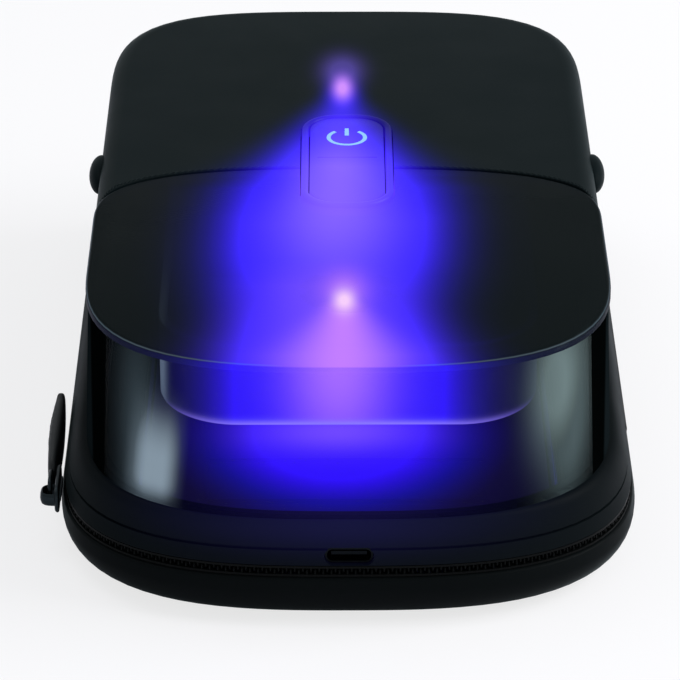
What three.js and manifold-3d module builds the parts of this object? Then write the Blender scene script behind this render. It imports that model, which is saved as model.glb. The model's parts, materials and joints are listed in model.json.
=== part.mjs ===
// A zippered ultraviolet sanitizer case for a phone, closed and lying flat, in millimetres with +Z up.
// The front of the case is at -Y. The origin is the middle of the underside that it rests on.
// Below: a shallow tub with a mirror liner, a cradle and a mat. Above: a tall lid, opaque behind and
// see-through in front, that carries the power button, the lamps, the cell and the charging socket.
import * as THREE from "three";
import { mergeGeometries, mergeVertices } from "three/addons/utils/BufferGeometryUtils.js";
import Module from "manifold-3d";

const wasm = await Module();
wasm.setup();

// Plan of the case: straight long sides, and bowed ends. The front is rounder than the rear, and the
// rear is squarer below the lid's foot than at its top.
const bowDepth = 45.8;
const frontRoundness = 2.9;
const baseRearRoundness = 4.6;
const topRearRoundness = 3.6;
const endSteps = 16;

// Heights: the zipper's line over the underside, and the rest over or under that line.
const zipHeight = 11;
const lidRise = 41.6;
const seamRise = 5;
const shoulderRise = 5.5;
const bellyDrop = 3.5;
const chainHalf = 1.1;
const chainGap = 0.15;

// Room between the cradle and the mirror liner's floor, and how far the skin's lines lie inside the
// belly, its widest line: at the sides, and at the ends.
const sideRoom = 9.1;
const endRoom = 4.3;
const undersideSideInset = 9.2;
const undersideEndInset = 8.6;
const lipSideInset = 0.5;
const lipEndInset = 0.8;
const zipSideInset = 0.8;
const zipEndInset = 1.3;
const seamSideInset = 1.6;
const seamEndInset = 1.4;
const footSideInset = 5.2;
const footEndInset = 2.3;
const topSideInset = 5.85;
const topEndInset = 3.6;

// Clearances, the wall of both lips at the zipper, and one overrun for every cut.
const seat = 0.3;
const slip = 0.2;
const lipWall = 2.2;
const overrun = 5;

// Sides of round bars, large and small, and steps round a corner.
const barSides = 20;
const pinSides = 10;
const cornerSteps = 3;
const broadCornerSteps = 5;

// Tub, mirror liner, cradle and mat, round the room that a large phone takes.
const tubFloor = 2;
const tubFloorInset = 1.2;
const tubWallFoot = 5;
const bellySteps = 5;
const linerSheet = 1;
const phoneHalfWidth = 38.9;
const phoneHalfLength = 78.5;
const phoneRoom = 0.8;
const phoneThickness = 8;
const cradleWall = 1.2;
const cradleCorner = 14;
const cradleEdge = 0.55;
const cradleBelowPhone = 0.9;
const matThickness = 1.3;
const matRibHeight = 0.4;
const matRibWidth = 1.2;
const matRibMargin = 12;
const matRibs = 9;

// Rim frame of the lid: a leg over the zipper, a parting groove, a shoulder and a ledge.
const ledgeDepth = 3.2;
const ledgeShelf = 2.4;
const grooveWidth = 0.6;
const grooveDepth = 0.5;

// Walls and top of the lid, and the see-through panel's bowed rear edge.
const coverWall = 2;
const coverTop = 1.6;
const coverEdge = 4;
const coverEdgeSteps = 4;
const hoodWall = 1.8;
const panelEdge = 0.5;
const panelRearReach = 0.4;
const panelRearDepth = 24;
const panelRearRoundness = 2.9;
const beadWidth = 1.1;
const beadProud = 0.35;
const earY = 9;
const earLength = 13;
const earProud = 2.4;
const earHalfHeight = 3.3;
const earDrop = 5.3;
const earTurns = 18;
const earRings = 10;

// Zipper: tapes, chain, end stops and the spine that joins the halves on the right.
const tapeSheet = 0.6;
const tapeApart = 0.1;
const linerDrop = 2;
const toothPitch = 3.7;
const toothWidth = 1;
const toothReach = 0.5;
const toothInset = 0.3;
const cordHeight = 0.4;
const spineInset = 9;
const spineBulge = 0.4;
const stopLength = 2.4;

// Slider on the left side, with its bail, link and pull.
const sliderAhead = 12;
const sliderLength = 12;
const sliderWidth = 5.6;
const sliderCorner = 2;
const sliderPlate = 0.8;
const sliderBoss = 0.3;
const sliderBossWidth = 1.8;
const sliderEdge = 0.25;
const bailAhead = 2.7;
const bailLength = 5;
const bailWidth = 2.6;
const bailCorner = 1;
const bailRise = 2.9;
const bailBar = 0.9;
const linkThickness = 0.9;
const linkBar = 1.1;
const linkWidth = 6.2;
const linkLength = 7.2;
const linkCorner = 1.8;
const tangWidth = 2.6;
const tangLength = 8;
const tangThickness = 0.5;
const pullLength = 31;
const pullWidth = 8.6;
const pullCorner = 3.4;
const pullEndThickness = 1.6;
const pullSwell = 0.6;
const pullSteps = 12;
const pullRibs = 5;
const pullRibPitch = 2.6;
const pullRibWidth = 1;
const pullRibInset = 1.8;
const pullRibHeight = 0.2;

// Power button along the middle of the lid, a little behind its centre.
const buttonY = 3.4;
const bezelWidth = 18.4;
const bezelLength = 44.6;
const bezelCorner = 7.2;
const bezelProud = 0.9;
const bezelBand = 1.5;
const bezelEdge = 0.4;
const capProud = 0.7;
const capThickness = 2.1;
const capEdge = 0.45;
const capTravel = 0.6;
const symbolY = 14;
const symbolRadius = 3.7;
const symbolStroke = 0.8;
const symbolGapAngle = THREE.MathUtils.degToRad(78);
const symbolDepth = 0.7;
const symbolFit = 0.06;
const symbolSteps = 12;
const stemLength = 3.6;
const cueLineY = 4;
const cueLineLength = 12;
const cueLineWidth = 0.5;
const cueLineDepth = 0.25;

// Lamp housings under the lid's top, an opaque one behind and a clear one in front, and the lamps.
const housingSideRoom = 14.25;
const housingEndRoom = 10.7;
const housingCorner = 15;
const housingHeight = 16.5;
const housingWall = 1.6;
const housingSplitY = 1.5;
const lampPlaceShare = 0.3725;
const lampWindow = 18;
const starDiameter = 19;
const starThickness = 1.5;
const starNotches = 6;
const starNotch = 1.6;
const packageSize = 5;
const packageThickness = 1.1;
const lensRadius = 2.1;
const lensSteps = 6;
const flexWidth = 4;
const flexSheet = 0.3;
const flexDrop = 1.2;
const flexReach = 1.6;
const connectorWidth = 6;
const connectorDepth = 3;
const connectorGap = 0.4;

// Board, switch, cell and screws in the rear housing.
const boardRoom = 2.9;
const boardWidth = 50;
const boardLength = 34;
const boardThickness = 1.2;
const boardDrop = 3.4;
const boardCorner = 2;
const switchSize = 6;
const switchBase = 2.4;
const plungerDiameter = 3.2;
const cellGap = 0.7;
const cellLength = 34;
const cellThickness = 7;
const cellCorner = 3;
const cellEdge = 0.8;
const postDiameter = 3.8;
const postInset = 2.4;
const screwHead = 3.6;
const screwHeadHeight = 1.2;
const screwShank = 1.8;
const screwLength = 6;

// Charging socket in the front of the rim frame, with its board, cover, sensor and the tub's magnet.
const socketWidth = 8.9;
const socketHeight = 3.1;
const socketCorner = 1.4;
const socketDepth = 7;
const socketSheet = 0.35;
const socketRise = 3.05;
const socketInset = 0.9;
const tongueWidth = 6.6;
const tongueThickness = 0.7;
const portBoardWidth = 18;
const portBoardThickness = 0.8;
const portCoverWall = 0.6;
const sensorWidth = 3.4;
const sensorThickness = 1.4;
const magnetDiameter = 3;
const magnetThickness = 1.2;
const magnetX = 10;

// Heights that follow from the sizes above.
const topHeight = zipHeight + lidRise;
const ceiling = topHeight - coverTop;
const footHeight = zipHeight + seamRise + shoulderRise;
const frameBottom = zipHeight + chainHalf + chainGap;
const tubTop = zipHeight - chainHalf - chainGap;
const linerTop = tubTop - linerDrop + tapeApart;
const linerFloor = tubFloor + seat + linerSheet;
const matTop = linerFloor + matThickness;
const housingFloor = ceiling - housingHeight;
const splitY = panelRearReach - panelRearDepth;

// A plan size at a height, the same drawn in by a wall, and the same at another height.
const level = (halfWidth, halfLength, z) => ({ w: halfWidth, l: halfLength, z });
const drawnIn = ({ w, l, z }, wall) => level(w - wall, l - wall, z);
const lifted = ({ w, l }, z) => level(w, l, z);

// The cradle's outer size in plan, what lies between its room and the zipper, and the skin's lines.
const cradle = level(
  phoneHalfWidth + phoneRoom + cradleWall,
  phoneHalfLength + phoneRoom + cradleWall,
  linerFloor,
);
const skinWall = lipWall + seat + linerSheet + tubFloorInset;
const belly = level(
  cradle.w + sideRoom + skinWall + zipSideInset,
  cradle.l + endRoom + skinWall + zipEndInset,
  zipHeight - bellyDrop,
);
const straightHalf = belly.l - bowDepth;
const spineHalf = straightHalf - spineInset;
const inwards = (side, end, z) => level(belly.w - side, belly.l - end, z);
const underside = inwards(undersideSideInset, undersideEndInset, 0);
const lip = inwards(lipSideInset, lipEndInset, tubTop);
const zipLine = inwards(zipSideInset, zipEndInset, zipHeight);
const seam = inwards(seamSideInset, seamEndInset, zipHeight + seamRise);
const foot = inwards(footSideInset, footEndInset, footHeight);
const top = inwards(topSideInset, topEndInset, topHeight);
const lipInside = drawnIn(zipLine, lipWall);

// How far up the lid a height lies, and the lid's outer skin there.
const lidShare = (z) => (z - foot.z) / (top.z - foot.z);

function lidSkin(z) {
  const share = lidShare(z);
  return level(foot.w + (top.w - foot.w) * share, foot.l + (top.l - foot.l) * share, z);
}

// Points round one end, from the right side over the rear to the left side, seen from above.
// The curve is u^n + v^n = 1 for a roundness n: 2 gives an ellipse, and more a squarer end.
function endCurve(halfWidth, start, depth, roundness) {
  return Array.from({ length: endSteps + 1 }, (_, i) => {
    const turn = (Math.PI * i) / endSteps;
    const u = Math.cos(turn);
    const v = Math.sin(turn);
    const reach = (Math.abs(u) ** roundness + v ** roundness) ** (1 / roundness);
    return new THREE.Vector2((halfWidth * u) / reach, start + (depth * v) / reach);
  });
}

const turned = (points) => points.map((p) => new THREE.Vector2(-p.x, -p.y));
const frontRun = ({ w, l }) => turned(endCurve(w, straightHalf, l - straightHalf, frontRoundness));

function rearRun({ w, l, z }) {
  const share = THREE.MathUtils.clamp(lidShare(z), 0, 1);
  const roundness = THREE.MathUtils.lerp(baseRearRoundness, topRearRoundness, share);
  return endCurve(w, straightHalf, l - straightHalf, roundness);
}

// Plan paths, all counter-clockwise seen from above.
const around = (size) => [...rearRun(size), ...frontRun(size)];
const zipped = (size) => [
  new THREE.Vector2(size.w, spineHalf),
  ...around(size),
  new THREE.Vector2(size.w, -spineHalf),
];
const hooded = (size) => [
  new THREE.Vector2(-size.w, splitY - seat),
  ...frontRun(size),
  new THREE.Vector2(size.w, splitY - seat),
];

// The front run's Y at a place across the case.
function frontAt(size, x) {
  const share = (1 - (x / size.w) ** frontRoundness) ** (1 / frontRoundness);
  return -straightHalf - (size.l - straightHalf) * share;
}

// Turns a closed geometry into a solid that can be cut and joined.
function solidOf(geometry) {
  const bare = geometry.clone();
  bare.deleteAttribute("normal");
  bare.deleteAttribute("uv");
  const merged = mergeVertices(bare);
  return new wasm.Manifold(
    new wasm.Mesh({
      numProp: 3,
      vertProperties: merged.attributes.position.array,
      triVerts: new Uint32Array(merged.index.array),
    }),
  );
}

function geometryOf(solid) {
  const { numProp, numVert, vertProperties, triVerts } = solid.getMesh();
  const positions = new Float32Array(numVert * 3);
  for (let i = 0; i < numVert; i++)
    positions.set(vertProperties.subarray(i * numProp, i * numProp + 3), i * 3);
  const geometry = new THREE.BufferGeometry();
  geometry.setAttribute("position", new THREE.BufferAttribute(positions, 3));
  geometry.setIndex(new THREE.BufferAttribute(new Uint32Array(triVerts), 1));
  return geometry;
}

const cut = (geometry, ...tools) =>
  geometryOf(tools.reduce((left, tool) => left.subtract(solidOf(tool)), solidOf(geometry)));
const join = (geometry, ...others) =>
  geometryOf(others.reduce((sum, other) => sum.add(solidOf(other)), solidOf(geometry)));
const within = (geometry, tool) => geometryOf(solidOf(geometry).intersect(solidOf(tool)));

function indexed(points, faces) {
  const geometry = new THREE.BufferGeometry().setFromPoints(points);
  geometry.setIndex(faces.flat());
  return geometry;
}

// Rows of points joined to their neighbours by quads, each as two triangles.
function latticeFaces(rows, columns, wrapRows, wrapColumns) {
  const faces = [];
  for (let j = 0; j < (wrapRows ? rows : rows - 1); j++)
    for (let i = 0; i < (wrapColumns ? columns : columns - 1); i++) {
      const next = (i + 1) % columns;
      const above = ((j + 1) % rows) * columns;
      const here = j * columns;
      faces.push([here + i, here + next, above + next], [here + i, above + next, above + i]);
    }
  return faces;
}

const rowsOf = (path, section) =>
  section.flatMap((corner) => path(corner).map((p) => new THREE.Vector3(p.x, p.y, corner.z)));

// A closed ring: its section's corners run counter-clockwise in the plane of width and height.
function ring(section) {
  const points = rowsOf(around, section);
  return indexed(points, latticeFaces(section.length, points.length / section.length, true, true));
}

// The same along a path with two ends, which the section itself closes.
function strip(path, section) {
  const points = rowsOf(path, section);
  const columns = points.length / section.length;
  const last = columns - 1;
  const faces = latticeFaces(section.length, columns, true, false);
  const flat = section.map(({ w, z }) => new THREE.Vector2(w, z));
  for (const [a, b, c] of THREE.ShapeUtils.triangulateShape(flat, [])) {
    faces.push([a * columns, b * columns, c * columns]);
    faces.push([c * columns + last, b * columns + last, a * columns + last]);
  }
  return indexed(points, faces);
}

// A dish or a plate: its section starts at a face that looks down and ends at one that looks up.
function dish(section, path = around) {
  const points = rowsOf(path, section);
  const columns = points.length / section.length;
  const faces = latticeFaces(section.length, columns, false, true);
  const lastRow = points.length - columns;
  for (const [row, corner] of [
    [0, section[0]],
    [lastRow, section.at(-1)],
  ]) {
    const box = new THREE.Box3().setFromPoints(points.slice(row, row + columns));
    const middle = points.length;
    points.push(new THREE.Vector3(0, (box.min.y + box.max.y) / 2, corner.z));
    for (let i = 0; i < columns; i++) {
      const pair = [row + i, row + ((i + 1) % columns)];
      faces.push([middle, ...(row === 0 ? pair.reverse() : pair)]);
    }
  }
  return indexed(points, faces);
}

// A rectangle with round corners about the origin.
function roundedShape(width, length, radius) {
  const x = width / 2 - radius;
  const y = length / 2 - radius;
  const quarter = Math.PI / 2;
  const shape = new THREE.Shape();
  shape.absarc(x, -y, radius, -quarter, 0);
  shape.absarc(x, y, radius, 0, quarter);
  shape.absarc(-x, y, radius, quarter, 2 * quarter);
  shape.absarc(-x, -y, radius, 2 * quarter, 3 * quarter);
  shape.closePath();
  return shape;
}

function frameShape(width, length, radius, band) {
  const shape = roundedShape(width, length, radius);
  shape.holes.push(roundedShape(width - 2 * band, length - 2 * band, radius - band));
  return shape;
}

// A shape made thick upwards from a height, with its edges broken by one bevel or left sharp.
function slab(shape, from, thickness, edge = 0, curveSegments = cornerSteps) {
  const geometry = new THREE.ExtrudeGeometry(shape, {
    depth: thickness - 2 * edge,
    bevelEnabled: edge > 0,
    bevelThickness: edge,
    bevelSize: edge,
    bevelOffset: -edge,
    bevelSegments: 1,
    curveSegments,
  });
  return geometry.translate(0, 0, from + edge);
}

function block(x0, x1, y0, y1, z0, z1) {
  const box = new THREE.BoxGeometry(x1 - x0, y1 - y0, z1 - z0);
  return box.translate((x0 + x1) / 2, (y0 + y1) / 2, (z0 + z1) / 2);
}

// An upright round bar from one height to another.
function bar(diameter, x, y, z0, z1, sides = barSides) {
  const cylinder = new THREE.CylinderGeometry(diameter / 2, diameter / 2, z1 - z0, sides);
  return cylinder.rotateX(Math.PI / 2).translate(x, y, (z0 + z1) / 2);
}

// Places at equal steps along a path: a point, and the turn of the path there.
function placesAlong(points, step, first) {
  const places = [];
  let next = first;
  let done = 0;
  for (let i = 1; i < points.length; i++) {
    const leg = points[i].clone().sub(points[i - 1]);
    const length = leg.length();
    for (; next < done + length; next += step) {
      const at = points[i - 1].clone().lerp(points[i], (next - done) / length);
      places.push({ at, turn: leg.angle() });
    }
    done += length;
  }
  return { places, length: done };
}

// Tub: a floor, a belly that swells to the widest line, and a wall up to the zipper.
function tubShell() {
  const swell = Array.from({ length: bellySteps + 1 }, (_, i) => {
    const turn = (Math.PI / 2) * (i / bellySteps);
    const across = Math.sin(turn);
    return level(
      underside.w + (belly.w - underside.w) * across,
      underside.l + (belly.l - underside.l) * across,
      belly.z * (1 - Math.cos(turn)),
    );
  });
  const shell = dish([
    ...swell,
    lip,
    lifted(lipInside, tubTop),
    lifted(lipInside, tubWallFoot),
    drawnIn(lifted(lipInside, tubFloor), tubFloorInset),
  ]);
  return cut(shell, magnetBar(magnetDiameter + 2 * slip, magnetThickness + slip, overrun));
}

// A short bar along Y from inside the tub's front wall to its inner face, and on by some more.
const magnetFace = frontAt(lipInside, magnetX + magnetDiameter / 2 + slip) - slip;
const magnetHeight = tubWallFoot + magnetDiameter / 2;

function magnetBar(diameter, ahead, behind) {
  const cylinder = new THREE.CylinderGeometry(diameter / 2, diameter / 2, ahead + behind, pinSides);
  return cylinder.translate(magnetX, magnetFace + (behind - ahead) / 2, magnetHeight);
}

const closureMagnet = () => magnetBar(magnetDiameter, magnetThickness, 0);

// Liner: a thin mirror pan that follows the tub's inner face.
function mirrorLiner() {
  const wall = drawnIn(lipInside, seat);
  const floor = drawnIn(wall, tubFloorInset);
  const sheet = (size) => drawnIn(size, linerSheet);
  return dish([
    lifted(floor, tubFloor + seat),
    lifted(wall, tubWallFoot + seat),
    lifted(wall, linerTop),
    sheet(lifted(wall, linerTop)),
    sheet(lifted(wall, tubWallFoot + seat)),
    sheet(lifted(floor, linerFloor)),
  ]);
}

// Cradle: a polished frame on the liner, round the place where the phone lies.
function phoneCradle() {
  const corner = cradleCorner + cradleWall;
  const shape = frameShape(2 * cradle.w, 2 * cradle.l, corner, cradleWall);
  const rise = matThickness + phoneThickness - cradleBelowPhone;
  return slab(shape, linerFloor, rise, cradleEdge, broadCornerSteps);
}

// Mat: a thin sheet in the cradle, with low ribs across it that the phone lies on.
function trayMat() {
  const { w, l } = drawnIn(cradle, cradleWall + seat);
  const width = 2 * w;
  const length = 2 * l;
  const shape = roundedShape(width, length, cradleCorner - seat);
  const sheet = slab(shape, linerFloor, matThickness - matRibHeight, 0, broadCornerSteps);
  const ribX = width / 2 - matRibMargin;
  const reach = length / 2 - matRibMargin;
  const ribs = Array.from({ length: matRibs }, (_, i) => {
    const y = reach * ((2 * i) / (matRibs - 1) - 1);
    const half = matRibWidth / 2;
    return block(-ribX, ribX, y - half, y + half, linerFloor + matRibHeight, matTop);
  });
  return join(sheet, ...ribs);
}

// Rim frame, with the pill-shaped slot for the charging socket through its front.
function rimFrame() {
  const leg = lifted(zipLine, frameBottom);
  const grooveLow = lifted(seam, seam.z - grooveWidth);
  const ledge = lifted(drawnIn(foot, ledgeDepth), foot.z);
  const frame = ring([
    leg,
    grooveLow,
    drawnIn(grooveLow, grooveDepth),
    drawnIn(seam, grooveDepth),
    seam,
    drawnIn(foot, -seat),
    ledge,
    lifted(ledge, foot.z - ledgeShelf),
    lifted(lipInside, seam.z + grooveWidth),
    lifted(lipInside, frameBottom),
  ]);
  return cut(frame, socketSlot());
}

// The pill of the charging socket in the front view, grown or drawn in by a margin.
const socketShape = (margin) =>
  roundedShape(socketWidth + 2 * margin, socketHeight + 2 * margin, socketCorner + margin);

// A front-view shape made thick backwards from a place, at the socket's height.
function fromFront(shape, front, depth) {
  const geometry = slab(shape, 0, depth);
  geometry.rotateX(Math.PI / 2);
  return geometry.translate(0, front + depth, zipHeight + socketRise);
}

const socketSlot = () =>
  fromFront(socketShape(slip), -zipLine.l - overrun, lipWall + 2 * overrun);

const socketFront = socketInset - zipLine.l;
const socketRear = socketFront + socketDepth;

function chargingSocket() {
  const shell = fromFront(socketShape(0), socketFront, socketDepth);
  const mouth = fromFront(socketShape(-socketSheet), socketFront - socketDepth, 2 * socketDepth);
  const back = fromFront(socketShape(0), socketRear - socketSheet, socketSheet);
  const middle = zipHeight + socketRise;
  const half = tongueThickness / 2;
  const tongue = block(
    -tongueWidth / 2,
    tongueWidth / 2,
    socketFront + socketInset,
    socketRear - socketSheet / 2,
    middle - half,
    middle + half,
  );
  return join(cut(shell, mouth), back, tongue);
}

// The socket's board lies on it behind the frame's leg, and the sensor hangs under the board.
const portFront = tapeSheet + 2 * seat - lipInside.l;
const portBoardBottom = zipHeight + socketRise + socketHeight / 2 + slip;
const portBoardTop = portBoardBottom + portBoardThickness;

function portBoard() {
  const half = portBoardWidth / 2;
  return block(-half, half, portFront, socketRear, portBoardBottom, portBoardTop);
}

function closureSensor() {
  const right = portBoardWidth / 2;
  return block(
    right - sensorWidth,
    right,
    portFront,
    portFront + sensorWidth,
    portBoardBottom - sensorThickness,
    portBoardBottom,
  );
}

// A small cover hides the board from inside: a roof, two sides and a back.
function portCover() {
  const half = portBoardWidth / 2 + seat;
  const bottom = frameBottom + seat;
  const roof = portBoardTop + slip;
  const rear = socketRear + seat;
  const outer = block(
    -half - portCoverWall,
    half + portCoverWall,
    portFront,
    rear + portCoverWall,
    bottom,
    roof + portCoverWall,
  );
  return cut(outer, block(-half, half, portFront - overrun, rear, bottom - overrun, roof));
}

// The see-through panel's outline: a bowed rear edge at mid-length, and the lid's own front.
const panelRear = ({ w, grown }) =>
  endCurve(w, splitY, panelRearDepth + grown, panelRearRoundness);
const panelPath = (size) => [...panelRear(size), ...frontRun(size)];
const panelLevel = (grown, z) => ({ ...drawnIn(lifted(top, z), -grown), grown });

// Plugs that cut the panel's place and the button's out of the lid's top.
const panelPlug = () =>
  dish([panelLevel(beadWidth, ceiling), panelLevel(beadWidth, topHeight + overrun)], panelPath);

function buttonPlug() {
  const shape = roundedShape(bezelWidth + 2 * slip, bezelLength + 2 * slip, bezelCorner + slip);
  return slab(shape, ceiling - overrun, coverTop + 2 * overrun).translate(0, buttonY, 0);
}

// Cover: the lid's opaque part, a dome with rounded edges and an ear on each side.
function rearCover() {
  const inside = (z) => drawnIn(lidSkin(z), coverWall);
  const edge = Array.from({ length: coverEdgeSteps + 1 }, (_, i) => {
    const turn = (Math.PI / 2) * (i / coverEdgeSteps);
    const z = topHeight - coverEdge * (1 - Math.sin(turn));
    return drawnIn(lidSkin(z), coverEdge * (1 - Math.cos(turn)));
  });
  const dome = dish([lidSkin(footHeight), ...edge]);
  const hollow = dish([
    inside(footHeight - overrun),
    inside(ceiling - coverWall),
    drawnIn(inside(ceiling), coverEdge - coverWall),
  ]);
  const ahead = block(-belly.w, belly.w, -belly.l, splitY, 0, topHeight + overrun);
  return cut(join(dome, ear(1), ear(-1)), hollow, ahead, panelPlug(), buttonPlug());
}

function ear(side) {
  const ball = new THREE.SphereGeometry(1, earTurns, earRings);
  ball.scale(earProud, earLength / 2, earHalfHeight);
  return ball.translate(side * lidSkin(topHeight - earDrop).w, earY, topHeight - earDrop);
}

// Bead: a raised line along the panel's rear edge on one side of the button.
function panelBead(side) {
  const far = beadWidth - slip;
  const bead = strip(panelRear, [
    panelLevel(far, ceiling),
    panelLevel(far, topHeight),
    panelLevel(beadWidth / 2, topHeight + beadProud),
    panelLevel(slip, topHeight),
    panelLevel(slip, ceiling),
  ]);
  const [x0, x1] = side > 0 ? [0, top.w] : [-top.w, 0];
  const half = block(x0, x1, splitY, top.l, ceiling - overrun, topHeight + overrun);
  return cut(within(bead, half), buttonPlug());
}

// Panel: the see-through near half of the lid's top.
function topPanel() {
  const plate = dish(
    [
      panelLevel(0, ceiling),
      panelLevel(0, topHeight - panelEdge),
      panelLevel(-panelEdge, topHeight),
    ],
    panelPath,
  );
  return cut(plate, buttonPlug());
}

// Hood: the glossy see-through wall round the near half, from the frame up to the panel.
function frontHood() {
  return strip(hooded, [
    lidSkin(footHeight),
    drawnIn(lidSkin(ceiling), panelEdge),
    drawnIn(lidSkin(ceiling), panelEdge + hoodWall),
    drawnIn(lidSkin(footHeight), hoodWall),
  ]);
}

// Zipper tapes stand just inside both lips.
function tape(from, to) {
  const outer = drawnIn(lipInside, seat);
  const inner = drawnIn(outer, tapeSheet);
  return strip(zipped, [
    lifted(outer, from),
    lifted(outer, to),
    lifted(inner, to),
    lifted(inner, from),
  ]);
}

const lowerTape = () => tape(linerTop + tapeApart, zipHeight - tapeApart);
const upperTape = () => cut(tape(zipHeight + tapeApart, seam.z), socketSlot());

// Half a chain: a cord as deep as the lips' wall, with teeth that reach past the middle, between
// those of the other half.
// The upper half's side is 1 and the lower half's is -1.
function chain(side) {
  const far = zipHeight + side * chainHalf;
  const near = far - side * cordHeight;
  const tip = zipHeight - side * toothReach;
  const root = (far + near) / 2;
  const cord = strip(zipped, [
    lifted(zipLine, Math.min(far, near)),
    lifted(zipLine, Math.max(far, near)),
    lifted(lipInside, Math.max(far, near)),
    lifted(lipInside, Math.min(far, near)),
  ]);
  const line = zipped(drawnIn(zipLine, lipWall / 2));
  const { places, length } = placesAlong(line, toothPitch, toothPitch);
  const pitch = length / (places.length + 1);
  const first = side > 0 ? pitch : pitch / 2;
  const teeth = placesAlong(line, pitch, first).places.map(({ at, turn }) => {
    const tooth = new THREE.BoxGeometry(toothWidth, lipWall - 2 * toothInset, Math.abs(root - tip));
    return tooth.rotateZ(turn).translate(at.x, at.y, (root + tip) / 2);
  });
  const rows = side > 0 ? teeth.slice(0, places.length) : teeth;
  return join(cord, mergeGeometries(rows));
}

// A metal clip closes each end of the chain, beside the spine.
const stopStart = spineHalf - seat;

function endStop(side) {
  const far = side * stopStart;
  const near = side * (stopStart - stopLength);
  const half = chainHalf;
  return block(
    lipInside.w,
    zipLine.w,
    Math.min(far, near),
    Math.max(far, near),
    zipHeight - half,
    zipHeight + half,
  );
}

// Spine: the fabric that joins both halves on the right, between the end stops.
function hingeSpine() {
  const half = stopStart - stopLength - seat;
  const path = ({ w }) => [new THREE.Vector2(w, -half), new THREE.Vector2(w, half)];
  return strip(path, [
    lifted(zipLine, zipHeight - chainHalf),
    drawnIn(zipLine, -spineBulge),
    lifted(zipLine, zipHeight + chainHalf),
    lifted(lipInside, zipHeight + chainHalf),
    lifted(lipInside, zipHeight - chainHalf),
  ]);
}

// Slider: a plate over the chain, with a boss that runs on the teeth and a bail for the link.
const sliderTop = sliderBoss + sliderPlate;
const bailHole = bailRise - bailBar;

function zipperSlider() {
  const plate = slab(
    roundedShape(sliderWidth, sliderLength, sliderCorner),
    sliderBoss,
    sliderPlate,
    sliderEdge,
  );
  const boss = slab(
    roundedShape(sliderBossWidth, sliderLength - 2 * sliderCorner, sliderBossWidth / 2),
    0,
    sliderBoss + sliderEdge,
  );
  const arch = slab(
    roundedShape(bailWidth, bailLength, bailCorner),
    sliderTop - sliderEdge,
    bailRise + sliderEdge,
    sliderEdge,
  );
  const half = bailLength / 2 - bailBar;
  const hole = block(-bailWidth, bailWidth, -half, half, sliderTop, sliderTop + bailHole);
  return join(plate, boss, cut(arch, hole).translate(0, -bailAhead, 0));
}

// Link: a flat metal loop through the bail, with a tang that the pull is moulded on.
// Its pivot is the middle of the bar that lies in the bail.
function pullLink() {
  const loop = slab(
    frameShape(linkWidth, linkLength, linkCorner, linkBar),
    -linkThickness / 2,
    linkThickness,
  );
  loop.translate(0, linkLength / 2 - linkBar / 2, 0);
  const half = tangWidth / 2;
  const from = linkLength - linkBar;
  const tang = block(
    -half,
    half,
    from,
    from + tangLength,
    -tangThickness / 2,
    tangThickness / 2,
  );
  return join(loop, tang);
}

// Pull: a soft leaf-shaped tab, thickest at its middle, with grip ribs there on its outer face and
// a slot for the link's tang. It is its outline in plan and its profile from the side, crossed.
const pullStart = linkLength - linkBar / 2 + seat;
const pullMiddle = pullStart + pullLength / 2;

function pullProfile() {
  const half = Array.from({ length: pullSteps + 1 }, (_, i) => {
    const share = (2 * i) / pullSteps - 1;
    const rise = pullEndThickness / 2 + pullSwell * (1 - share ** 2);
    return new THREE.Vector2((share * pullLength) / 2, rise);
  });
  const below = half.map((p) => new THREE.Vector2(p.x, -p.y)).reverse();
  const profile = slab(new THREE.Shape([...half, ...below]), -pullWidth / 2, pullWidth);
  return profile.rotateZ(Math.PI / 2).rotateY(Math.PI / 2);
}

function pullTab() {
  const thickest = pullEndThickness / 2 + pullSwell;
  const plan = slab(
    roundedShape(pullWidth, pullLength, pullCorner),
    -thickest,
    2 * thickest,
    0,
    broadCornerSteps,
  );
  const ribX = pullWidth / 2 - pullRibInset;
  const ribs = Array.from({ length: pullRibs }, (_, i) => {
    const y = pullRibPitch * (i - (pullRibs - 1) / 2);
    const half = pullRibWidth / 2;
    return block(-ribX, ribX, y - half, y + half, 0, thickest + pullRibHeight);
  });
  const half = tangWidth / 2 + slip;
  const thick = tangThickness / 2 + slip;
  const tangEnd = linkLength - linkBar + tangLength + slip;
  const slot = block(-half, half, pullStart - overrun, tangEnd, -thick, thick);
  const leaf = join(within(plan, pullProfile()), ...ribs);
  return cut(leaf.translate(0, pullMiddle, 0), slot);
}

// Bezel: a raised ring let into the lid's top round the button.
function buttonBezel() {
  const shape = frameShape(bezelWidth, bezelLength, bezelCorner, bezelBand);
  return slab(shape, ceiling, coverTop + bezelProud, bezelEdge).translate(0, buttonY, 0);
}

// The power symbol's two marks, a ring with a gap at its rear and a stem in the gap.
function symbolMarks(margin) {
  const half = symbolGapAngle / 2 - margin / symbolRadius;
  const start = Math.PI / 2 + half;
  const end = 2.5 * Math.PI - half;
  const arc = new THREE.Shape();
  arc.absarc(0, 0, symbolRadius + symbolStroke / 2 + margin, start, end, false);
  arc.absarc(0, 0, symbolRadius - symbolStroke / 2 - margin, end, start, true);
  arc.closePath();
  const x = symbolStroke / 2 + margin;
  const y1 = symbolRadius + symbolStroke + margin;
  const y0 = y1 - stemLength - 2 * margin;
  const stem = new THREE.Shape();
  stem.setFromPoints([
    new THREE.Vector2(-x, y0),
    new THREE.Vector2(x, y0),
    new THREE.Vector2(x, y1),
    new THREE.Vector2(-x, y1),
  ]);
  return [arc, stem];
}

const capTop = topHeight + capProud;
const symbolDisc = 2 * (symbolRadius + 2 * symbolStroke);
const symbolFloor = capTop - symbolDepth;

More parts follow.
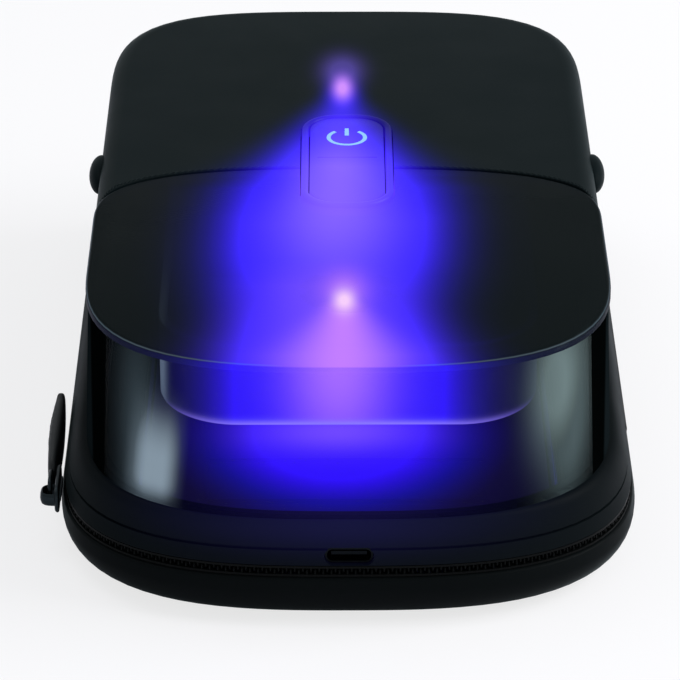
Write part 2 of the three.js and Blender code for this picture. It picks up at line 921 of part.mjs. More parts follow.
// Light guide: the marks stand on a disc below the cap's skin.
function powerSymbol() {
  const disc = bar(symbolDisc, 0, symbolY, symbolFloor - symbolDepth, symbolFloor);
  const marks = symbolMarks(0).map((shape) =>
    slab(shape, symbolFloor, symbolDepth, 0, symbolSteps).translate(0, symbolY, 0),
  );
  return join(disc, ...marks);
}

// Cap: the plate that is pressed, with a fine cue line across it and cut-outs for the symbol.
function powerCap() {
  const inset = bezelBand + slip;
  const shape = roundedShape(bezelWidth - 2 * inset, bezelLength - 2 * inset, bezelCorner - inset);
  const cap = slab(shape, capTop - capThickness, capThickness, capEdge).translate(0, buttonY, 0);
  const half = cueLineWidth / 2;
  const cue = block(
    -cueLineLength / 2,
    cueLineLength / 2,
    cueLineY - half,
    cueLineY + half,
    capTop - cueLineDepth,
    capTop + overrun,
  );
  const marks = symbolMarks(symbolFit).map((mark) =>
    slab(mark, symbolFloor - slip, symbolDepth + overrun, 0, symbolSteps).translate(0, symbolY, 0),
  );
  const well = bar(
    symbolDisc + 2 * slip,
    0,
    symbolY,
    capTop - capThickness - overrun,
    symbolFloor + symbolFit,
  );
  return cut(cap, cue, well, ...marks);
}

// A housing in the lid: a rounded box open at the top, kept on one side of the split.
// Each lamp lies between the board and the end of its housing.
const housing = level(top.w - housingSideRoom, top.l - housingEndRoom, ceiling);
const boardY = housingSplitY + housingWall + boardRoom + boardLength / 2;
const boardRear = boardY + boardLength / 2;
const lampY = boardRear + (housing.l - housingWall - boardRear) * lampPlaceShare;

function housingShell(from, to) {
  const outer = roundedShape(2 * housing.w, 2 * housing.l, housingCorner);
  const keep = block(-belly.w, belly.w, from, to, 0, topHeight);
  return within(slab(outer, housingFloor, housingHeight, 0, broadCornerSteps), keep);
}

function housingHollow(from, to) {
  const { w, l } = drawnIn(housing, housingWall);
  const inner = roundedShape(2 * w, 2 * l, housingCorner - housingWall);
  const keep = block(-belly.w, belly.w, from, to, 0, topHeight + overrun);
  const floor = housingFloor + housingWall;
  return within(slab(inner, floor, housingHeight + overrun, 0, broadCornerSteps), keep);
}

const lampHole = (y) =>
  bar(lampWindow, 0, y, housingFloor - overrun, housingFloor + 2 * housingWall);

// Rear housing: opaque, with four posts that carry the board and a window under the lamp.
function rearHousing() {
  const end = belly.l;
  const box = cut(
    housingShell(housingSplitY, end),
    housingHollow(housingSplitY + housingWall, end),
    lampHole(lampY),
    buttonPlug(),
  );
  const posts = postPlaces().map(({ x, y }) =>
    bar(postDiameter, x, y, housingFloor + housingWall / 2, boardBottom, pinSides),
  );
  const bores = postPlaces().map(({ x, y }) =>
    bar(screwShank + 2 * slip, x, y, boardTop - screwLength - slip, boardTop, pinSides),
  );
  return cut(join(box, ...posts), ...bores);
}

// Front housing: clear, with a window under the lamp.
function frontHousing() {
  const end = -belly.l;
  const split = housingSplitY - seat;
  return cut(
    housingShell(end, split),
    housingHollow(end, split - housingWall),
    lampHole(-lampY),
    buttonPlug(),
  );
}

// Star: the notched aluminium board of a lamp, against the lid's ceiling.
function lampStar(y) {
  const disc = bar(starDiameter, 0, y, ceiling - starThickness, ceiling);
  const notches = Array.from({ length: starNotches }, (_, i) => {
    const turn = (2 * Math.PI * i) / starNotches;
    const radius = starDiameter / 2;
    const x = radius * Math.cos(turn);
    const z = [ceiling - overrun, topHeight];
    return bar(2 * starNotch, x, y + radius * Math.sin(turn), ...z, pinSides);
  });
  return cut(disc, ...notches);
}

// Lamp: a square package under the star, with a domed lens that looks down.
function lampPackage(y) {
  const half = packageSize / 2;
  const under = ceiling - starThickness;
  const base = block(-half, half, y - half, y + half, under - packageThickness, under);
  const profile = Array.from({ length: lensSteps + 1 }, (_, i) => {
    const turn = (Math.PI / 2) * (i / lensSteps);
    return new THREE.Vector2(lensRadius * Math.sin(turn), -lensRadius * Math.cos(turn));
  });
  profile[0].x = 0;
  const root = packageThickness / 2;
  profile.push(new THREE.Vector2(lensRadius, root), new THREE.Vector2(0, root));
  const lens = new THREE.LatheGeometry(profile, pinSides).rotateX(Math.PI / 2);
  return join(base, lens.translate(0, y, under - packageThickness));
}

// Flex: a flat lead under the ceiling from a lamp to its connector on the board.
const flexBottom = ceiling - flexDrop - flexSheet;

function lampFlex(from, to) {
  const half = flexWidth / 2;
  return block(-half, half, from, to, flexBottom, ceiling - flexDrop);
}

function flexConnector(from, to) {
  const half = connectorWidth / 2;
  return block(-half, half, from, to, boardTop, flexBottom);
}

const boardTop = ceiling - boardDrop;
const boardBottom = boardTop - boardThickness;
const boardHalf = boardLength / 2;

// Where each flex starts beside its lamp's board, and where it ends on its connector.
const flexStart = starDiameter / 2 + seat;
const rearConnectorY = boardY + boardHalf - connectorDepth - flexReach;
const frontConnectorY = symbolY - switchSize / 2 - connectorGap;

function postPlaces() {
  const x = boardWidth / 2 - postInset;
  const y = boardHalf - postInset;
  return [-1, 1].flatMap((side) => [-1, 1].map((end) => ({ x: side * x, y: boardY + end * y })));
}

function mainBoard() {
  const plate = slab(
    roundedShape(boardWidth, boardLength, boardCorner),
    boardBottom,
    boardThickness,
  );
  const holes = postPlaces().map(({ x, y }) =>
    bar(screwShank + 2 * slip, x, y, boardBottom - overrun, boardTop + overrun, pinSides),
  );
  return cut(plate.translate(0, boardY, 0), ...holes);
}

function boardScrew({ x, y }) {
  const head = bar(screwHead, x, y, boardTop, boardTop + screwHeadHeight, pinSides);
  const root = boardTop + screwHeadHeight / 2;
  return join(head, bar(screwShank, x, y, boardTop - screwLength, root, pinSides));
}

// Switch under the button's symbol: a square base, and a plunger clear of the cap's travel.
function tactSwitch() {
  const half = switchSize / 2;
  const baseTop = boardTop + switchBase;
  const base = block(-half, half, symbolY - half, symbolY + half, boardTop, baseTop);
  const capBottom = symbolFloor - symbolDepth;
  const plungerTop = Math.min(capTop - capThickness, capBottom) - capTravel - symbolFit;
  const root = boardTop + switchBase / 2;
  return join(base, bar(plungerDiameter, 0, symbolY, root, plungerTop, pinSides));
}

// Cell: a flat pouch on the rear housing's floor, under the board and between its posts.
function cell() {
  const width = boardWidth - 2 * (postInset + postDiameter / 2 + cellGap);
  const shape = roundedShape(width, cellLength, cellCorner);
  const pouch = slab(shape, housingFloor + housingWall + slip, cellThickness, cellEdge);
  return pouch.translate(0, boardY, 0);
}

// Materials.
const material = (color, roughness, metalness = 0, opacity = 1) =>
  new THREE.MeshStandardMaterial({
    color,
    roughness,
    metalness,
    opacity,
    transparent: opacity < 1,
  });
const softTouch = material(0x1f2828, 0.6);
const tubSkin = material(0x181e20, 0.65);
const mirrorFoil = material(0xaeb6c8, 0.15, 1);
const polishedTrim = material(0xb9c2d6, 0.12, 1);
const darkMat = material(0x10131c, 0.3);
const smokedPanel = material(0x2a3236, 0.35, 0, 0.5);
const clearHood = material(0x8c9ba0, 0.08, 0, 0.3);
const zipperNylon = material(0x14181a, 0.45);
const wovenTape = material(0x121618, 0.9);
const blackMetal = material(0x2c3336, 0.35, 1);
const steel = material(0xa8adb2, 0.3, 1);
const pullRubber = material(0x1c2224, 0.7);
const buttonPlastic = material(0x1a2030, 0.35);
const lightGuide = material(0x7fd6ff, 0.3);
const clearHousing = material(0x8f86e8, 0.1, 0, 0.35);
const housingPlastic = material(0x23282c, 0.5);
const aluminium = material(0xc9ced4, 0.35, 1);
const lampGlass = material(0xd9c6ff, 0.05);
const boardLaminate = material(0x1d5a3a, 0.5);
const amberFilm = material(0x9a5a1c, 0.4);
const cellFoil = material(0x8d939a, 0.4, 1);
const switchPlastic = material(0x1b1b1d, 0.5);
const white = material(0xd8d8d2, 0.5);
const magnetNickel = material(0xb5b2aa, 0.25, 1);

function mesh(name, geometry, surface) {
  const made = new THREE.Mesh(geometry, surface);
  made.name = name;
  return made;
}

function group(...members) {
  const made = new THREE.Group();
  made.add(...members);
  return made;
}

const base = group(
  mesh("tub_shell", tubShell(), tubSkin),
  mesh("mirror_liner", mirrorLiner(), mirrorFoil),
  mesh("phone_cradle", phoneCradle(), polishedTrim),
  mesh("tray_mat", trayMat(), darkMat),
  mesh("closure_magnet", closureMagnet(), magnetNickel),
  mesh("lower_zipper_tape", lowerTape(), wovenTape),
  mesh("lower_zipper_chain", chain(-1), zipperNylon),
  mesh("zipper_stop_rear", endStop(1), blackMetal),
  mesh("zipper_stop_front", endStop(-1), blackMetal),
  mesh("hinge_spine", hingeSpine(), wovenTape),
);

const lid = group(
  mesh("rim_frame", rimFrame(), softTouch),
  mesh("rear_cover", rearCover(), softTouch),
  mesh("top_panel", topPanel(), smokedPanel),
  mesh("front_hood", frontHood(), clearHood),
  mesh("panel_bead_right", panelBead(1), softTouch),
  mesh("panel_bead_left", panelBead(-1), softTouch),
  mesh("upper_zipper_tape", upperTape(), wovenTape),
  mesh("upper_zipper_chain", chain(1), zipperNylon),
  mesh("button_bezel", buttonBezel(), buttonPlastic),
  mesh("rear_housing", rearHousing(), housingPlastic),
  mesh("front_housing", frontHousing(), clearHousing),
  mesh("rear_lamp_star", lampStar(lampY), aluminium),
  mesh("front_lamp_star", lampStar(-lampY), aluminium),
  mesh("rear_lamp", lampPackage(lampY), lampGlass),
  mesh("front_lamp", lampPackage(-lampY), lampGlass),
  mesh("rear_lamp_flex", lampFlex(rearConnectorY, lampY - flexStart), amberFilm),
  mesh("front_lamp_flex", lampFlex(flexStart - lampY, frontConnectorY), amberFilm),
  mesh("rear_connector", flexConnector(rearConnectorY, rearConnectorY + connectorDepth), white),
  mesh("front_connector", flexConnector(frontConnectorY - connectorDepth, frontConnectorY), white),
  mesh("main_board", mainBoard(), boardLaminate),
  mesh("tact_switch", tactSwitch(), switchPlastic),
  mesh("battery_cell", cell(), cellFoil),
  ...postPlaces().map((place, i) => mesh(`board_screw_${i + 1}`, boardScrew(place), steel)),
  mesh("charging_socket", chargingSocket(), steel),
  mesh("port_board", portBoard(), boardLaminate),
  mesh("port_cover", portCover(), housingPlastic),
  mesh("closure_sensor", closureSensor(), switchPlastic),
);

const button = group(
  mesh("power_cap", powerCap(), buttonPlastic),
  mesh("power_symbol", powerSymbol(), lightGuide),
);

// The slider is drawn lying face up, and turned on edge so that its face looks out to the left.
const pull = group(
  mesh("pull_link", pullLink(), blackMetal),
  mesh("pull_tab", pullTab(), pullRubber),
);
pull.position.set(0, -bailAhead, sliderTop + bailHole / 2);
const slider = group(mesh("zipper_slider", zipperSlider(), blackMetal), pull);
slider.position.set(-zipLine.w - seat, -straightHalf - sliderAhead, zipHeight);
slider.rotation.y = -Math.PI / 2;

export default group(base, lid, button, slider);
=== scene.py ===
"""The looks of a zippered ultraviolet sanitizer case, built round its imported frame."""

import json
from functools import partial
from math import copysign, cos, pi, radians, sin, sqrt

import bmesh
import bpy
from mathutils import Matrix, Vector


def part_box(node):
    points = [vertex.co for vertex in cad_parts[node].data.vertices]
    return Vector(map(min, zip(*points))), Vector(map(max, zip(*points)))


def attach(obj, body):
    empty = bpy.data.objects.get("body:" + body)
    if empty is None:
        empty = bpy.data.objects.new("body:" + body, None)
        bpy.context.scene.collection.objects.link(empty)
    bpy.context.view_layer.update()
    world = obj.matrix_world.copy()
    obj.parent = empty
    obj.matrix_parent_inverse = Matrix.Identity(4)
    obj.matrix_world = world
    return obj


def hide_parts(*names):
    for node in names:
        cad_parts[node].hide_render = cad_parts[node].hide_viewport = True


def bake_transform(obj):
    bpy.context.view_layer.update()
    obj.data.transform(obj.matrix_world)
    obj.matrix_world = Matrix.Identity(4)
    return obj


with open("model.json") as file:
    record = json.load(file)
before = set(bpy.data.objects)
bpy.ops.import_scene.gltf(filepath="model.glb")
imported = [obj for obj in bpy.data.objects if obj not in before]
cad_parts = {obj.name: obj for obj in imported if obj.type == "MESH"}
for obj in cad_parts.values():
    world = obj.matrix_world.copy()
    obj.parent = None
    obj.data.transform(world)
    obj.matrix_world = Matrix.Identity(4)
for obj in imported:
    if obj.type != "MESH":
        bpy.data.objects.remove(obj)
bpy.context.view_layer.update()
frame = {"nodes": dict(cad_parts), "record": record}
scene = bpy.context.scene

# Places and sizes are in millimetres, and become metres where a mesh, lamp or camera is made.
MM = 0.001


def box(node):
    """The lowest and the highest corner of one of the frame's nodes."""
    low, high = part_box(node)
    return low / MM, high / MM


hood_low, hood_high = box("front_hood")
panel_low, panel_high = box("top_panel")
bezel_low, bezel_high = box("button_bezel")
symbol_low, symbol_high = box("power_symbol")
spine_low, spine_high = box("hinge_spine")
zip_high = box("lower_zipper_chain")[1]

# Half width, half length and height of the lid's foot and top, and the zipper's half sizes.
FOOT = (hood_high.x, -hood_low.y, hood_low.z)
TOP = (panel_high.x, -panel_low.y, panel_high.z)
ZIP = (zip_high.x, zip_high.y)
ZIP_HEIGHT = 11.0
CEILING = panel_low.z

# Half sizes inside both lips, on the underside and at the rim's parting line.
LIP = 2.2
INSIDE = (ZIP[0] - LIP, ZIP[1] - LIP)
UNDERSIDE = (46.3, 82.2)
SEAM = (53.9, 89.4)
SEAM_HEIGHT = 16.0
BELLY_HEIGHT = 7.5

# The sides are straight this far from mid-length, and a higher bow makes a squarer end. The cover
# meets the hood at the split, and the panel reaches back from there by its depth.
STRAIGHT = 45.0
FRONT_BOW, PANEL_BOW = 2.9, 2.9
BASE_REAR_BOW, TOP_REAR_BOW = 4.6, 3.6
PANEL_DEPTH = 24.0
SPLIT = box("rear_cover")[0].y
HOOD_GAP = 0.04
COVER_EDGE = 4.0

BUTTON_Y = (bezel_low.y + bezel_high.y) / 2
BEZEL_CORNER = 7.2
SYMBOL_Y = (symbol_low.y + symbol_high.y) / 2
SYMBOL = dict(radius=3.7, stroke=0.8, gap=radians(78), stem=3.6)

# Room round what passes through an opening, and how far a cutter reaches past what it cuts.
SLIP = 0.2
PAST = 5
BEYOND = 100

END_STEPS, SIDE_STEPS = 48, 36
SIDE_RUN = [STRAIGHT * (1 - 2 * i / SIDE_STEPS) for i in range(1, SIDE_STEPS)]


def arc(steps, sweep=pi):
    """Angles from 0 to a sweep in equal steps."""
    return [sweep * i / steps for i in range(steps + 1)]


def end_run(w, l, bow, start=STRAIGHT, steps=END_STEPS):
    """Points round one end from the right side to the left, on the curve u^bow + v^bow = 1."""
    points = []
    for turn in arc(steps):
        u, v = cos(turn), sin(turn)
        reach = (abs(u) ** bow + v**bow) ** (1 / bow)
        points.append((w * u / reach, start + (l - start) * v / reach))
    return points


def lid_share(z):
    """How far up the lid a height lies."""
    return (z - FOOT[2]) / (TOP[2] - FOOT[2])


def rear_run(w, l, z):
    """The rear end, squarer below the lid's foot than at its top."""
    share = min(1.0, max(0.0, lid_share(z)))
    return end_run(w, l, BASE_REAR_BOW + (TOP_REAR_BOW - BASE_REAR_BOW) * share)


def front_run(w, l):
    """The front end, from the left side to the right."""
    return [(-x, -y) for x, y in end_run(w, l, FRONT_BOW)]


def outline(w, l, z):
    """The whole plan, counter-clockwise, with points along the straight sides too."""
    left = [(-w, y) for y in SIDE_RUN]
    right = [(w, -y) for y in SIDE_RUN]
    return rear_run(w, l, z) + left + front_run(w, l) + right


def zipped(w, l, z):
    """The plan from the hinge spine's rear end round to its front end, evenly stepped."""
    half = spine_high.y + 3
    left = [(-w, y) for y in SIDE_RUN]
    ends = [(w, y) for y in (half, (half + STRAIGHT) / 2)]
    near = [(w, -y) for _, y in reversed(ends)]
    return ends + rear_run(w, l, z) + left + front_run(w, l) + near


def hooded(w, l, _):
    """The plan's front half, from the cover's edge on the left to the one on the right."""
    side = [SPLIT - HOOD_GAP + (-STRAIGHT - SPLIT) * i / 8 for i in range(8)]
    return [(-w, y) for y in side] + front_run(w, l) + [(w, y) for y in reversed(side)]


def panel_rear(w, grown, steps=END_STEPS):
    """The panel's bowed rear edge at mid-length, moved out by what it is grown."""
    return end_run(w, SPLIT + PANEL_DEPTH + grown, PANEL_BOW, SPLIT, steps)


def panel_outline(w, l, _, grown=0.0):
    """The see-through panel: its bowed rear edge, and the lid's own front."""
    return panel_rear(w, grown) + front_run(w, l)


def level(path, w, l, z, *more):
    """A plan path at a height."""
    return [Vector((x, y, z)) for x, y in path(w, l, z, *more)]


def lid_skin(z, inset=0.0):
    """The lid's half width and half length at a height, drawn in by an inset."""
    return tuple(FOOT[i] + (TOP[i] - FOOT[i]) * lid_share(z) - inset for i in (0, 1))


def rounded(w, l, r, steps=10):
    """A rectangle with round corners about the origin, counter-clockwise."""
    points = []
    for k, (sx, sy) in enumerate(((1, 1), (-1, 1), (-1, -1), (1, -1))):
        for i in range(steps + 1):
            turn = pi / 2 * (k + i / steps)
            x = sx * (w / 2 - r) + r * cos(turn)
            y = sy * (l / 2 - r) + r * sin(turn)
            points.append((x, y))
    return points


def ring(w, l, r, z, y=0.0, steps=12):
    """A rounded rectangle at a height, with its middle at a place along Y."""
    return [Vector((dx, dy + y, z)) for dx, dy in rounded(w, l, r, steps)]


def net(rows, wrap_rows=False, wrap_columns=True, caps=False):
    """Rows of points, joined to their neighbours by four-sided faces and closed at the ends."""
    width = len(rows[0])
    points = [p for row in rows for p in row]
    faces = []
    for j in range(len(rows) if wrap_rows else len(rows) - 1):
        a, b = j * width, (j + 1) % len(rows) * width
        for i in range(width if wrap_columns else width - 1):
            k = (i + 1) % width
            faces.append((a + i, a + k, b + k, b + i))
    if caps:
        last = (len(rows) - 1) * width
        faces.append(tuple(reversed(range(width))))
        faces.append(tuple(range(last, last + width)))
    if wrap_rows and not wrap_columns:
        starts = [j * width for j in range(len(rows))]
        faces.append(tuple(starts))
        faces.append(tuple(s + width - 1 for s in reversed(starts)))
    return points, faces


def solid(name, points, faces):
    """A mesh object of closed faces that point outwards, from places in millimetres."""
    mesh = bpy.data.meshes.new(name)
    mesh.from_pydata([tuple(p * MM for p in point) for point in points], [], faces)
    work = bmesh.new()
    work.from_mesh(mesh)
    bmesh.ops.recalc_face_normals(work, faces=work.faces)
    work.to_mesh(mesh)
    work.free()
    made = bpy.data.objects.new(name, mesh)
    scene.collection.objects.link(made)
    return made


def prism(name, points, z0, z1):
    """A plan outline made thick from one height to another."""
    rows = [[Vector((x, y, z)) for x, y in points] for z in (z0, z1)]
    return solid(name, *net(rows, caps=True))


def slab(name, x, y, z):
    """A plain block between two places along each axis."""
    return prism(name, [(x[0], y[0]), (x[1], y[0]), (x[1], y[1]), (x[0], y[1])], *z)


def pad(name, w, l, r, z0, z1, y=0.0, steps=12):
    """A block with round corners, with its middle at a place along Y."""
    return solid(name, *net([ring(w, l, r, z, y, steps) for z in (z0, z1)], caps=True))


def disc(name, across, z0, z1, y):
    """A round plate. Its corners stay just short of meeting, so that no two points are one."""
    return pad(name, across, across, across / 2 - 0.01, z0, z1, y)


def settle(shape):
    """Makes an object's modifiers part of its mesh."""
    bpy.context.view_layer.update()
    graph = bpy.context.evaluated_depsgraph_get()
    mesh = bpy.data.meshes.new_from_object(shape.evaluated_get(graph))
    shape.modifiers.clear()
    shape.data = mesh
    return shape


def carved(shape, *tools, operation="DIFFERENCE"):
    """Cuts tools out of a shape, or joins them to it, and throws the tools away."""
    for tool in tools:
        change = shape.modifiers.new("carve", "BOOLEAN")
        change.operation, change.solver, change.object = operation, "EXACT", tool
        settle(shape)
        bpy.data.objects.remove(tool)
    return shape


def soften(shape, width, segments=3, angle=32):
    """Rounds a shape's sharp edges."""
    edge = shape.modifiers.new("edge", "BEVEL")
    edge.width, edge.segments, edge.limit_method = width * MM, segments, "ANGLE"
    edge.angle_limit = radians(angle)
    edge.harden_normals = True
    shape.data.shade_smooth()
    return shape


def smooth(shape, angle):
    """Shades a shape smooth, with its edges past an angle kept sharp."""
    shape.data.shade_smooth()
    shape.data.set_sharp_from_angle(angle=radians(angle))
    return shape


def place(shape, body, slot, node, surface=None):
    """Gives a piece its body and its finish, which is the slot's own where none is named, and
    hides the frame's node that it stands for."""
    shape.data.materials.clear()
    shape.data.materials.append(surfaces[surface or slot])
    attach(shape, body)
    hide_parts(node)
    return shape


def linear(colour):
    """A colour written as sRGB hex, as the linear values that a socket takes."""
    values = [int(colour[i : i + 2], 16) / 255 for i in (1, 3, 5)]
    return (*[v / 12.92 if v <= 0.04045 else ((v + 0.055) / 1.055) ** 2.4 for v in values], 1)


BLACK, WHITE = (0.0, 0.0, 0.0, 1.0), (1.0, 1.0, 1.0, 1.0)


def add(tree, kind, sockets=None, **settings):
    """Adds a node with its settings, and a value or a link for each socket named."""
    made = tree.nodes.new("ShaderNode" + kind)
    for name, value in settings.items():
        setattr(made, name, value)
    for name, value in (sockets or {}).items():
        if isinstance(value, bpy.types.NodeSocket):
            tree.links.new(value, made.inputs[name])
        else:
            made.inputs[name].default_value = value
    return made


class Finish:
    """A material of one colour and gloss, that takes tones, grain and painted light."""

    def __init__(self, name, colour, roughness, **sockets):
        self.material = bpy.data.materials.new(name)
        self.material.use_nodes = True
        self.tree = self.material.node_tree
        self.add = partial(add, self.tree)
        self.shader = self.tree.nodes["Principled BSDF"]
        self.shader.inputs["Base Color"].default_value = linear(colour)
        self.shader.inputs["Roughness"].default_value = roughness
        for socket, value in sockets.items():
            self.shader.inputs[socket.replace("_", " ")].default_value = value
        self.start = self.add("TexCoord")
        self.spot = self.start.outputs["Object"]
        self.light = BLACK

    def feed(self, socket, source):
        """Links an output to one of the shader's sockets."""
        self.tree.links.new(source, self.shader.inputs[socket])

    def tones(self, share, low, high):
        """Lets the colour run between two tones by a share."""
        mixed = self.add("Mix", {0: share, 6: linear(low), 7: linear(high)}, data_type="RGBA")
        self.feed("Base Color", mixed.outputs[2])

    def mottle(self, low, high, size):
        """Lets the colour drift between two tones over patches of one size."""
        drift = self.add("TexNoise", {"Vector": self.spot, "Scale": 1 / (size * MM), "Detail": 3})
        self.tones(drift.outputs["Fac"], low, high)

    def bumps(self, height, depth):
        """Raises the surface by a height from 0 to 1 times a depth."""
        raised = self.add("Bump", {"Height": height, "Distance": depth * MM})
        self.feed("Normal", raised.outputs["Normal"])

    def grain(self, size, depth, rough=None, patch=14):
        """A moulded grain of one size and depth, and a gloss that drifts over wider patches."""
        fine = self.add("TexNoise", {"Vector": self.spot, "Scale": 1 / (size * MM), "Detail": 4})
        self.bumps(fine.outputs["Fac"], depth)
        if rough:
            wear = self.add("TexNoise", {"Vector": self.spot, "Scale": 1 / (patch * MM),
                                         "Detail": 5})
            gloss = self.add("MapRange", {"Value": wear.outputs["Fac"], "From Min": 0.35,
                                          "From Max": 0.65, "To Min": rough[0],
                                          "To Max": rough[1]})
            self.feed("Roughness", gloss.outputs["Result"])

    def lighten(self, share, colour):
        """Lays a share of a colour over the light so far. The brighter of the two shows."""
        both = self.add("Mix", {0: share, 6: self.light, 7: linear(colour)}, data_type="RGBA",
                        blend_type="LIGHTEN")
        self.light = both.outputs[2]

    def bell(self, colour, square, gain):
        """Lays light that falls off as a bell, from the square of a distance, and is full at
        most."""
        half = self.add("Math", {0: square, 1: -0.5}, operation="MULTIPLY")
        curve = self.add("Math", {0: half.outputs[0]}, operation="EXPONENT")
        strong = self.add("Math", {0: curve.outputs[0], 1: gain}, operation="MULTIPLY")
        share = self.add("Math", {0: strong.outputs[0], 1: 1.0}, operation="MINIMUM")
        self.lighten(share.outputs[0], colour)

    def glow(self, colour, middle, spreads, gain):
        """Adds a soft spot of light. A spread of 0 lets the light run on along that axis."""
        scale = [1 / (r * MM) if r else 0.0 for r in spreads]
        shift = [-c * MM * s for c, s in zip(middle, scale)]
        near = self.add("Mapping", {"Vector": self.spot, "Location": shift, "Scale": scale})
        square = self.add("VectorMath", {0: near.outputs[0], 1: near.outputs[0]},
                          operation="DOT_PRODUCT")
        self.bell(colour, square.outputs["Value"], gain)

    def beam(self, colour, start, lean, widths, widens, gain, full, rise, fade):
        """Adds a fan of light on a level surface, from its start towards the front. It leans
        aside by a share of its way. It widens from one half width to the other over a length,
        gains strength by a power of the way until it is full, and fades between two places."""
        parts = self.add("SeparateXYZ", {0: self.spot})
        ahead = self.add("Math", {0: parts.outputs["Y"], 1: -1 / MM, 2: start[1]},
                         operation="MULTIPLY_ADD").outputs[0]
        aside = self.add("Math", {0: ahead, 1: -lean, 2: -start[0]}, operation="MULTIPLY_ADD")
        across = self.add("Math", {0: parts.outputs["X"], 1: 1 / MM, 2: aside.outputs[0]},
                          operation="MULTIPLY_ADD")
        width = self.add("MapRange", {"Value": ahead, "From Max": widens, "To Min": widths[0],
                                      "To Max": widths[1]})
        share = self.add("Math", {0: across.outputs[0], 1: width.outputs[0]}, operation="DIVIDE")
        square = self.add("Math", {0: share.outputs[0], 1: share.outputs[0]},
                          operation="MULTIPLY")
        way = self.add("MapRange", {"Value": ahead, "From Max": full})
        grown = self.add("Math", {0: way.outputs[0], 1: rise}, operation="POWER")
        drop = self.add("MapRange", {"Value": ahead, "From Min": fade[0], "From Max": fade[1],
                                     "To Min": gain, "To Max": 0.0},
                        interpolation_type="SMOOTHSTEP")
        strength = self.add("Math", {0: grown.outputs[0], 1: drop.outputs[0]},
                            operation="MULTIPLY")
        self.bell(colour, square.outputs[0], strength.outputs[0])

    def between(self, value, rise, fall):
        """A share that goes softly up over one stretch of a value and down over another."""
        up, down = (self.add("MapRange", {"Value": value, "From Min": ends[0] * MM,
                                          "From Max": ends[1] * MM, "To Min": low,
                                          "To Max": 1.0 - low}, interpolation_type="SMOOTHSTEP")
                    for ends, low in ((rise, 0.0), (fall, 1.0)))
        return self.add("Math", {0: up.outputs[0], 1: down.outputs[0]},
                        operation="MULTIPLY").outputs[0]

    def shine(self, strength=1.0):
        """Lets the surface give off the light that is laid on it."""
        self.feed("Emission Color", self.light)
        self.shader.inputs["Emission Strength"].default_value = strength


# Where the lamps' light stands across, on the lid and behind the hood. What is seen through the
# hood is painted brighter, because the clear wall takes a part of it.
LAMP_X = -0.8
HOUSED_X = -1.8
THROUGH_HOOD = 1.25
BLUE, VIOLET, HAZE, PINK = "#3014ff", "#8560ff", "#7048ff", "#c27cff"


def lid_light(skin):
    """The light of both lamps on the lid's top: a fan from each, their cores and their halos."""
    skin.glow("#453684", middle=(LAMP_X, 50.5, 0), spreads=(2.7, 5.6, 0), gain=1.4)
    skin.beam(BLUE, start=(LAMP_X, 46.5), lean=-0.028, widths=(1.0, 8.9), widens=56, gain=7.7,
              full=70, rise=1.8, fade=(78, 122))
    skin.beam(BLUE, start=(-4.4, -50), lean=0.055, widths=(7.0, 8.7), widens=38, gain=8.5,
              full=36, rise=0.45, fade=(84, 99))
    skin.glow(BLUE, middle=(LAMP_X, 36, 0), spreads=(1.9, 7, 0), gain=1.1)
    skin.beam(VIOLET, start=(LAMP_X, 46.5), lean=-0.02, widths=(1.2, 8.0), widens=73, gain=1.0,
              full=47, rise=2.6, fade=(60, 122))
    skin.beam(HAZE, start=(-4.5, -42), lean=0.03, widths=(6.0, 9.5), widens=38, gain=0.95,
              full=12, rise=1.0, fade=(60, 80))
    skin.glow("#cf8cff", middle=(LAMP_X, 41.2, 0), spreads=(1.25, 4.0, 0), gain=1.1)
    skin.glow("#a769ff", middle=(LAMP_X, -56.5, 0), spreads=(2.7, 6.0, 0), gain=1.2)
    skin.beam(PINK, start=(LAMP_X, -59), lean=-0.02, widths=(1.3, 6.3), widens=24, gain=1.0,
              full=3, rise=1.0, fade=(40, 60))
    skin.glow("#fcd2ff", middle=(LAMP_X, -60.2, 0), spreads=(1.3, 3.2, 0), gain=1.1)


def housed_light(skin):
    """The front lamp's light in the upright wall of its housing."""
    skin.glow("#1a1a48", middle=(HOUSED_X, 0, 0), spreads=(24, 0, 0), gain=1.2)
    skin.glow(BLUE, middle=(HOUSED_X, 0, 0), spreads=(9.3, 0, 0), gain=9.0)
    skin.glow("#a56aff", middle=(HOUSED_X, 0, 48), spreads=(6.2, 0, 13), gain=1.0)


def soft_touch(name, low, high, gloss=0.03, sheen=0.12):
    """Soft-touch coated ABS, sprayed over a fine spark grain: dull, and silky at a low angle."""
    skin = Finish(name, low, 0.5, IOR=1.45, Specular_IOR_Level=gloss, Sheen_Weight=sheen,
                  Sheen_Roughness=0.3, Sheen_Tint=linear("#b8d0d0"))
    skin.mottle(low, high, 30)
    skin.grain(0.35, 0.012, (0.47, 0.53))
    return skin


def lit_cover():
    """The same coating on the lid, with the lamps' light on it."""
    skin = soft_touch("soft_touch_coating_lit", "#0c1416", "#0e1618")
    lid_light(skin)
    skin.shine()
    return skin.material


def lit_rim():
    """The same coating on the rim, with a faint reflection of the blue light in front."""
    skin = soft_touch("soft_touch_rim", "#0b1012", "#0d1214", gloss=0.02, sheen=0.05)
    skin.glow("#130f40", middle=(HOUSED_X, -84, 21), spreads=(17, 7, 4), gain=1.0)
    skin.shine()
    return skin.material


